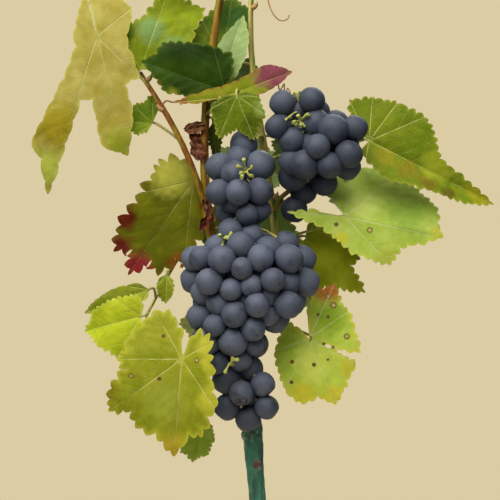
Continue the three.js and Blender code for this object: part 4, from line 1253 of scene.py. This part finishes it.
withered, tree, shader = material("withered leaf", roughness=0.7, specular_ior_level=0.2)
veining = mottled(tree, 900, 0.45, 0.6, (1, 1, 0.3), 4)
feed(tree, shader, base_color=layered(
    tree, SCRAP_TAN, (kept(tree, "tone"), SCRAP_BROWN), (times(tree, veining, 0.5), SCRAP_DARK),
    (mottled(tree, 260, 0.56, 0.68), SCRAP_RED)))
bump(tree, shader, veining, 0.3 * MM)
rows = [
    (limb_at("cane_main", 289, (-6, -4, 1)), 13, 7, 10, 1.5, 0.7),
    (limb_at("cane_main", 283, (-6, -2, 0)), 9, 7, -50, 1.0, 1.0),
    (limb_at("cane_main", 276, (-4, -4, 0)), 14, 9, -78, 1.5, 0.85),
    (limb_at("cane_main", 240, (1, -6, 0)), 15, 6, -70, 2.0, 0.75),
    (limb_at("cane_main", 231, (-3, -7, 0)), 9, 5, -120, 2.0, 0.95),
    (limb_at("cane_main", 209, (-18, -8, 0)), 14, 3.5, 62, -2.0, 0.1),
    (limb_at("cane_main", 204, (-16, -9, 0)), 12, 3, 66, 2.0, 0.25),
    (limb_at("cane_main", 196, (-16, -8, 0)), 12, 7, 80, -2.0, 0.75),
    (limb_at("cane_left", 322, (-3, -2, 2)), 6, 3, 130, 1.0, 0.5),
]
piece("dried_scraps", scraps(rows), withered, "cane_bark")

# ---- the studio ----
# A pale round floor under the plant, a large soft light high in front, a faint one low on the right
# and one behind. The camera stands level with the middle of the bunch.
FLOOR_RADIUS, FLOOR_DEPTH = 0.26, 4 * MM
FLOOR_PALE, BACKDROP, SOFT_AIR = "d9d0b8", "dbcca4", (0.62, 0.64, 0.66, 1)
SENSOR = 36  # mm
CAMERA = (-10 * MM, -1.0, 215 * MM)
VIEW_WIDTH = 308 * MM  # what the camera takes in, at the stem

disc = bmesh.new()
bmesh.ops.create_cone(
    disc, cap_ends=True, segments=96, radius1=FLOOR_RADIUS, radius2=FLOOR_RADIUS, depth=FLOOR_DEPTH)
bmesh.ops.translate(disc, verts=disc.verts, vec=(0, 0, -FLOOR_DEPTH / 2))
mesh = bpy.data.meshes.new("floor")
disc.to_mesh(mesh)
disc.free()
floor = shown("floor", mesh)
pale, tree, shader = material("pale floor", roughness=0.8)
shader.inputs["Base Color"].default_value = paint(FLOOR_PALE)
mesh.materials.append(pale)
floor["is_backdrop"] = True


def soft_light(name, place, aim, size, power, colour):
    """A round light of a size in metres, aimed at a place."""
    lamp = bpy.data.lights.new(name, "AREA")
    lamp.shape, lamp.size, lamp.energy, lamp.color = "DISK", size, power, colour
    made = shown(name, lamp)
    made.location = place
    made.rotation_euler = (Vector(aim) - Vector(place)).to_track_quat("-Z", "Y").to_euler()


middle = (0, 0, 0.24)
soft_light("key light", (-0.35, -0.75, 1.4), middle, 2.0, 50, (1, 0.98, 0.94))
soft_light("fill light", (0.9, -1.1, 0.45), middle, 0.9, 1.2, (0.95, 0.97, 1))
soft_light("back light", (0.3, 1.0, 1.2), middle, 1.0, 10, (1, 0.97, 0.93))

world = bpy.data.worlds.new("studio air")
world.use_nodes = True
bpy.context.scene.world = world
air = world.node_tree.nodes["Background"]
seen = add(world.node_tree, "ShaderNodeLightPath").outputs["Is Camera Ray"]
backdrop = blended(world.node_tree, seen, SOFT_AIR, paint(BACKDROP))
feed(world.node_tree, air, color=backdrop, strength=between(world.node_tree, seen, 0, 1, 0.2, 1.0))

lens = bpy.data.cameras.new("camera")
lens.sensor_width = SENSOR
lens.lens = SENSOR * -CAMERA[1] / VIEW_WIDTH
camera = shown("camera", lens)
camera.location = CAMERA
camera.rotation_euler = (math.radians(90), 0, 0)
bpy.context.scene.camera = camera
bpy.context.scene.view_settings.view_transform = "Standard"

sizes = {"cad": [list(corner) for corner in cad_box], "visual": [list(corner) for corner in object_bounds()]}
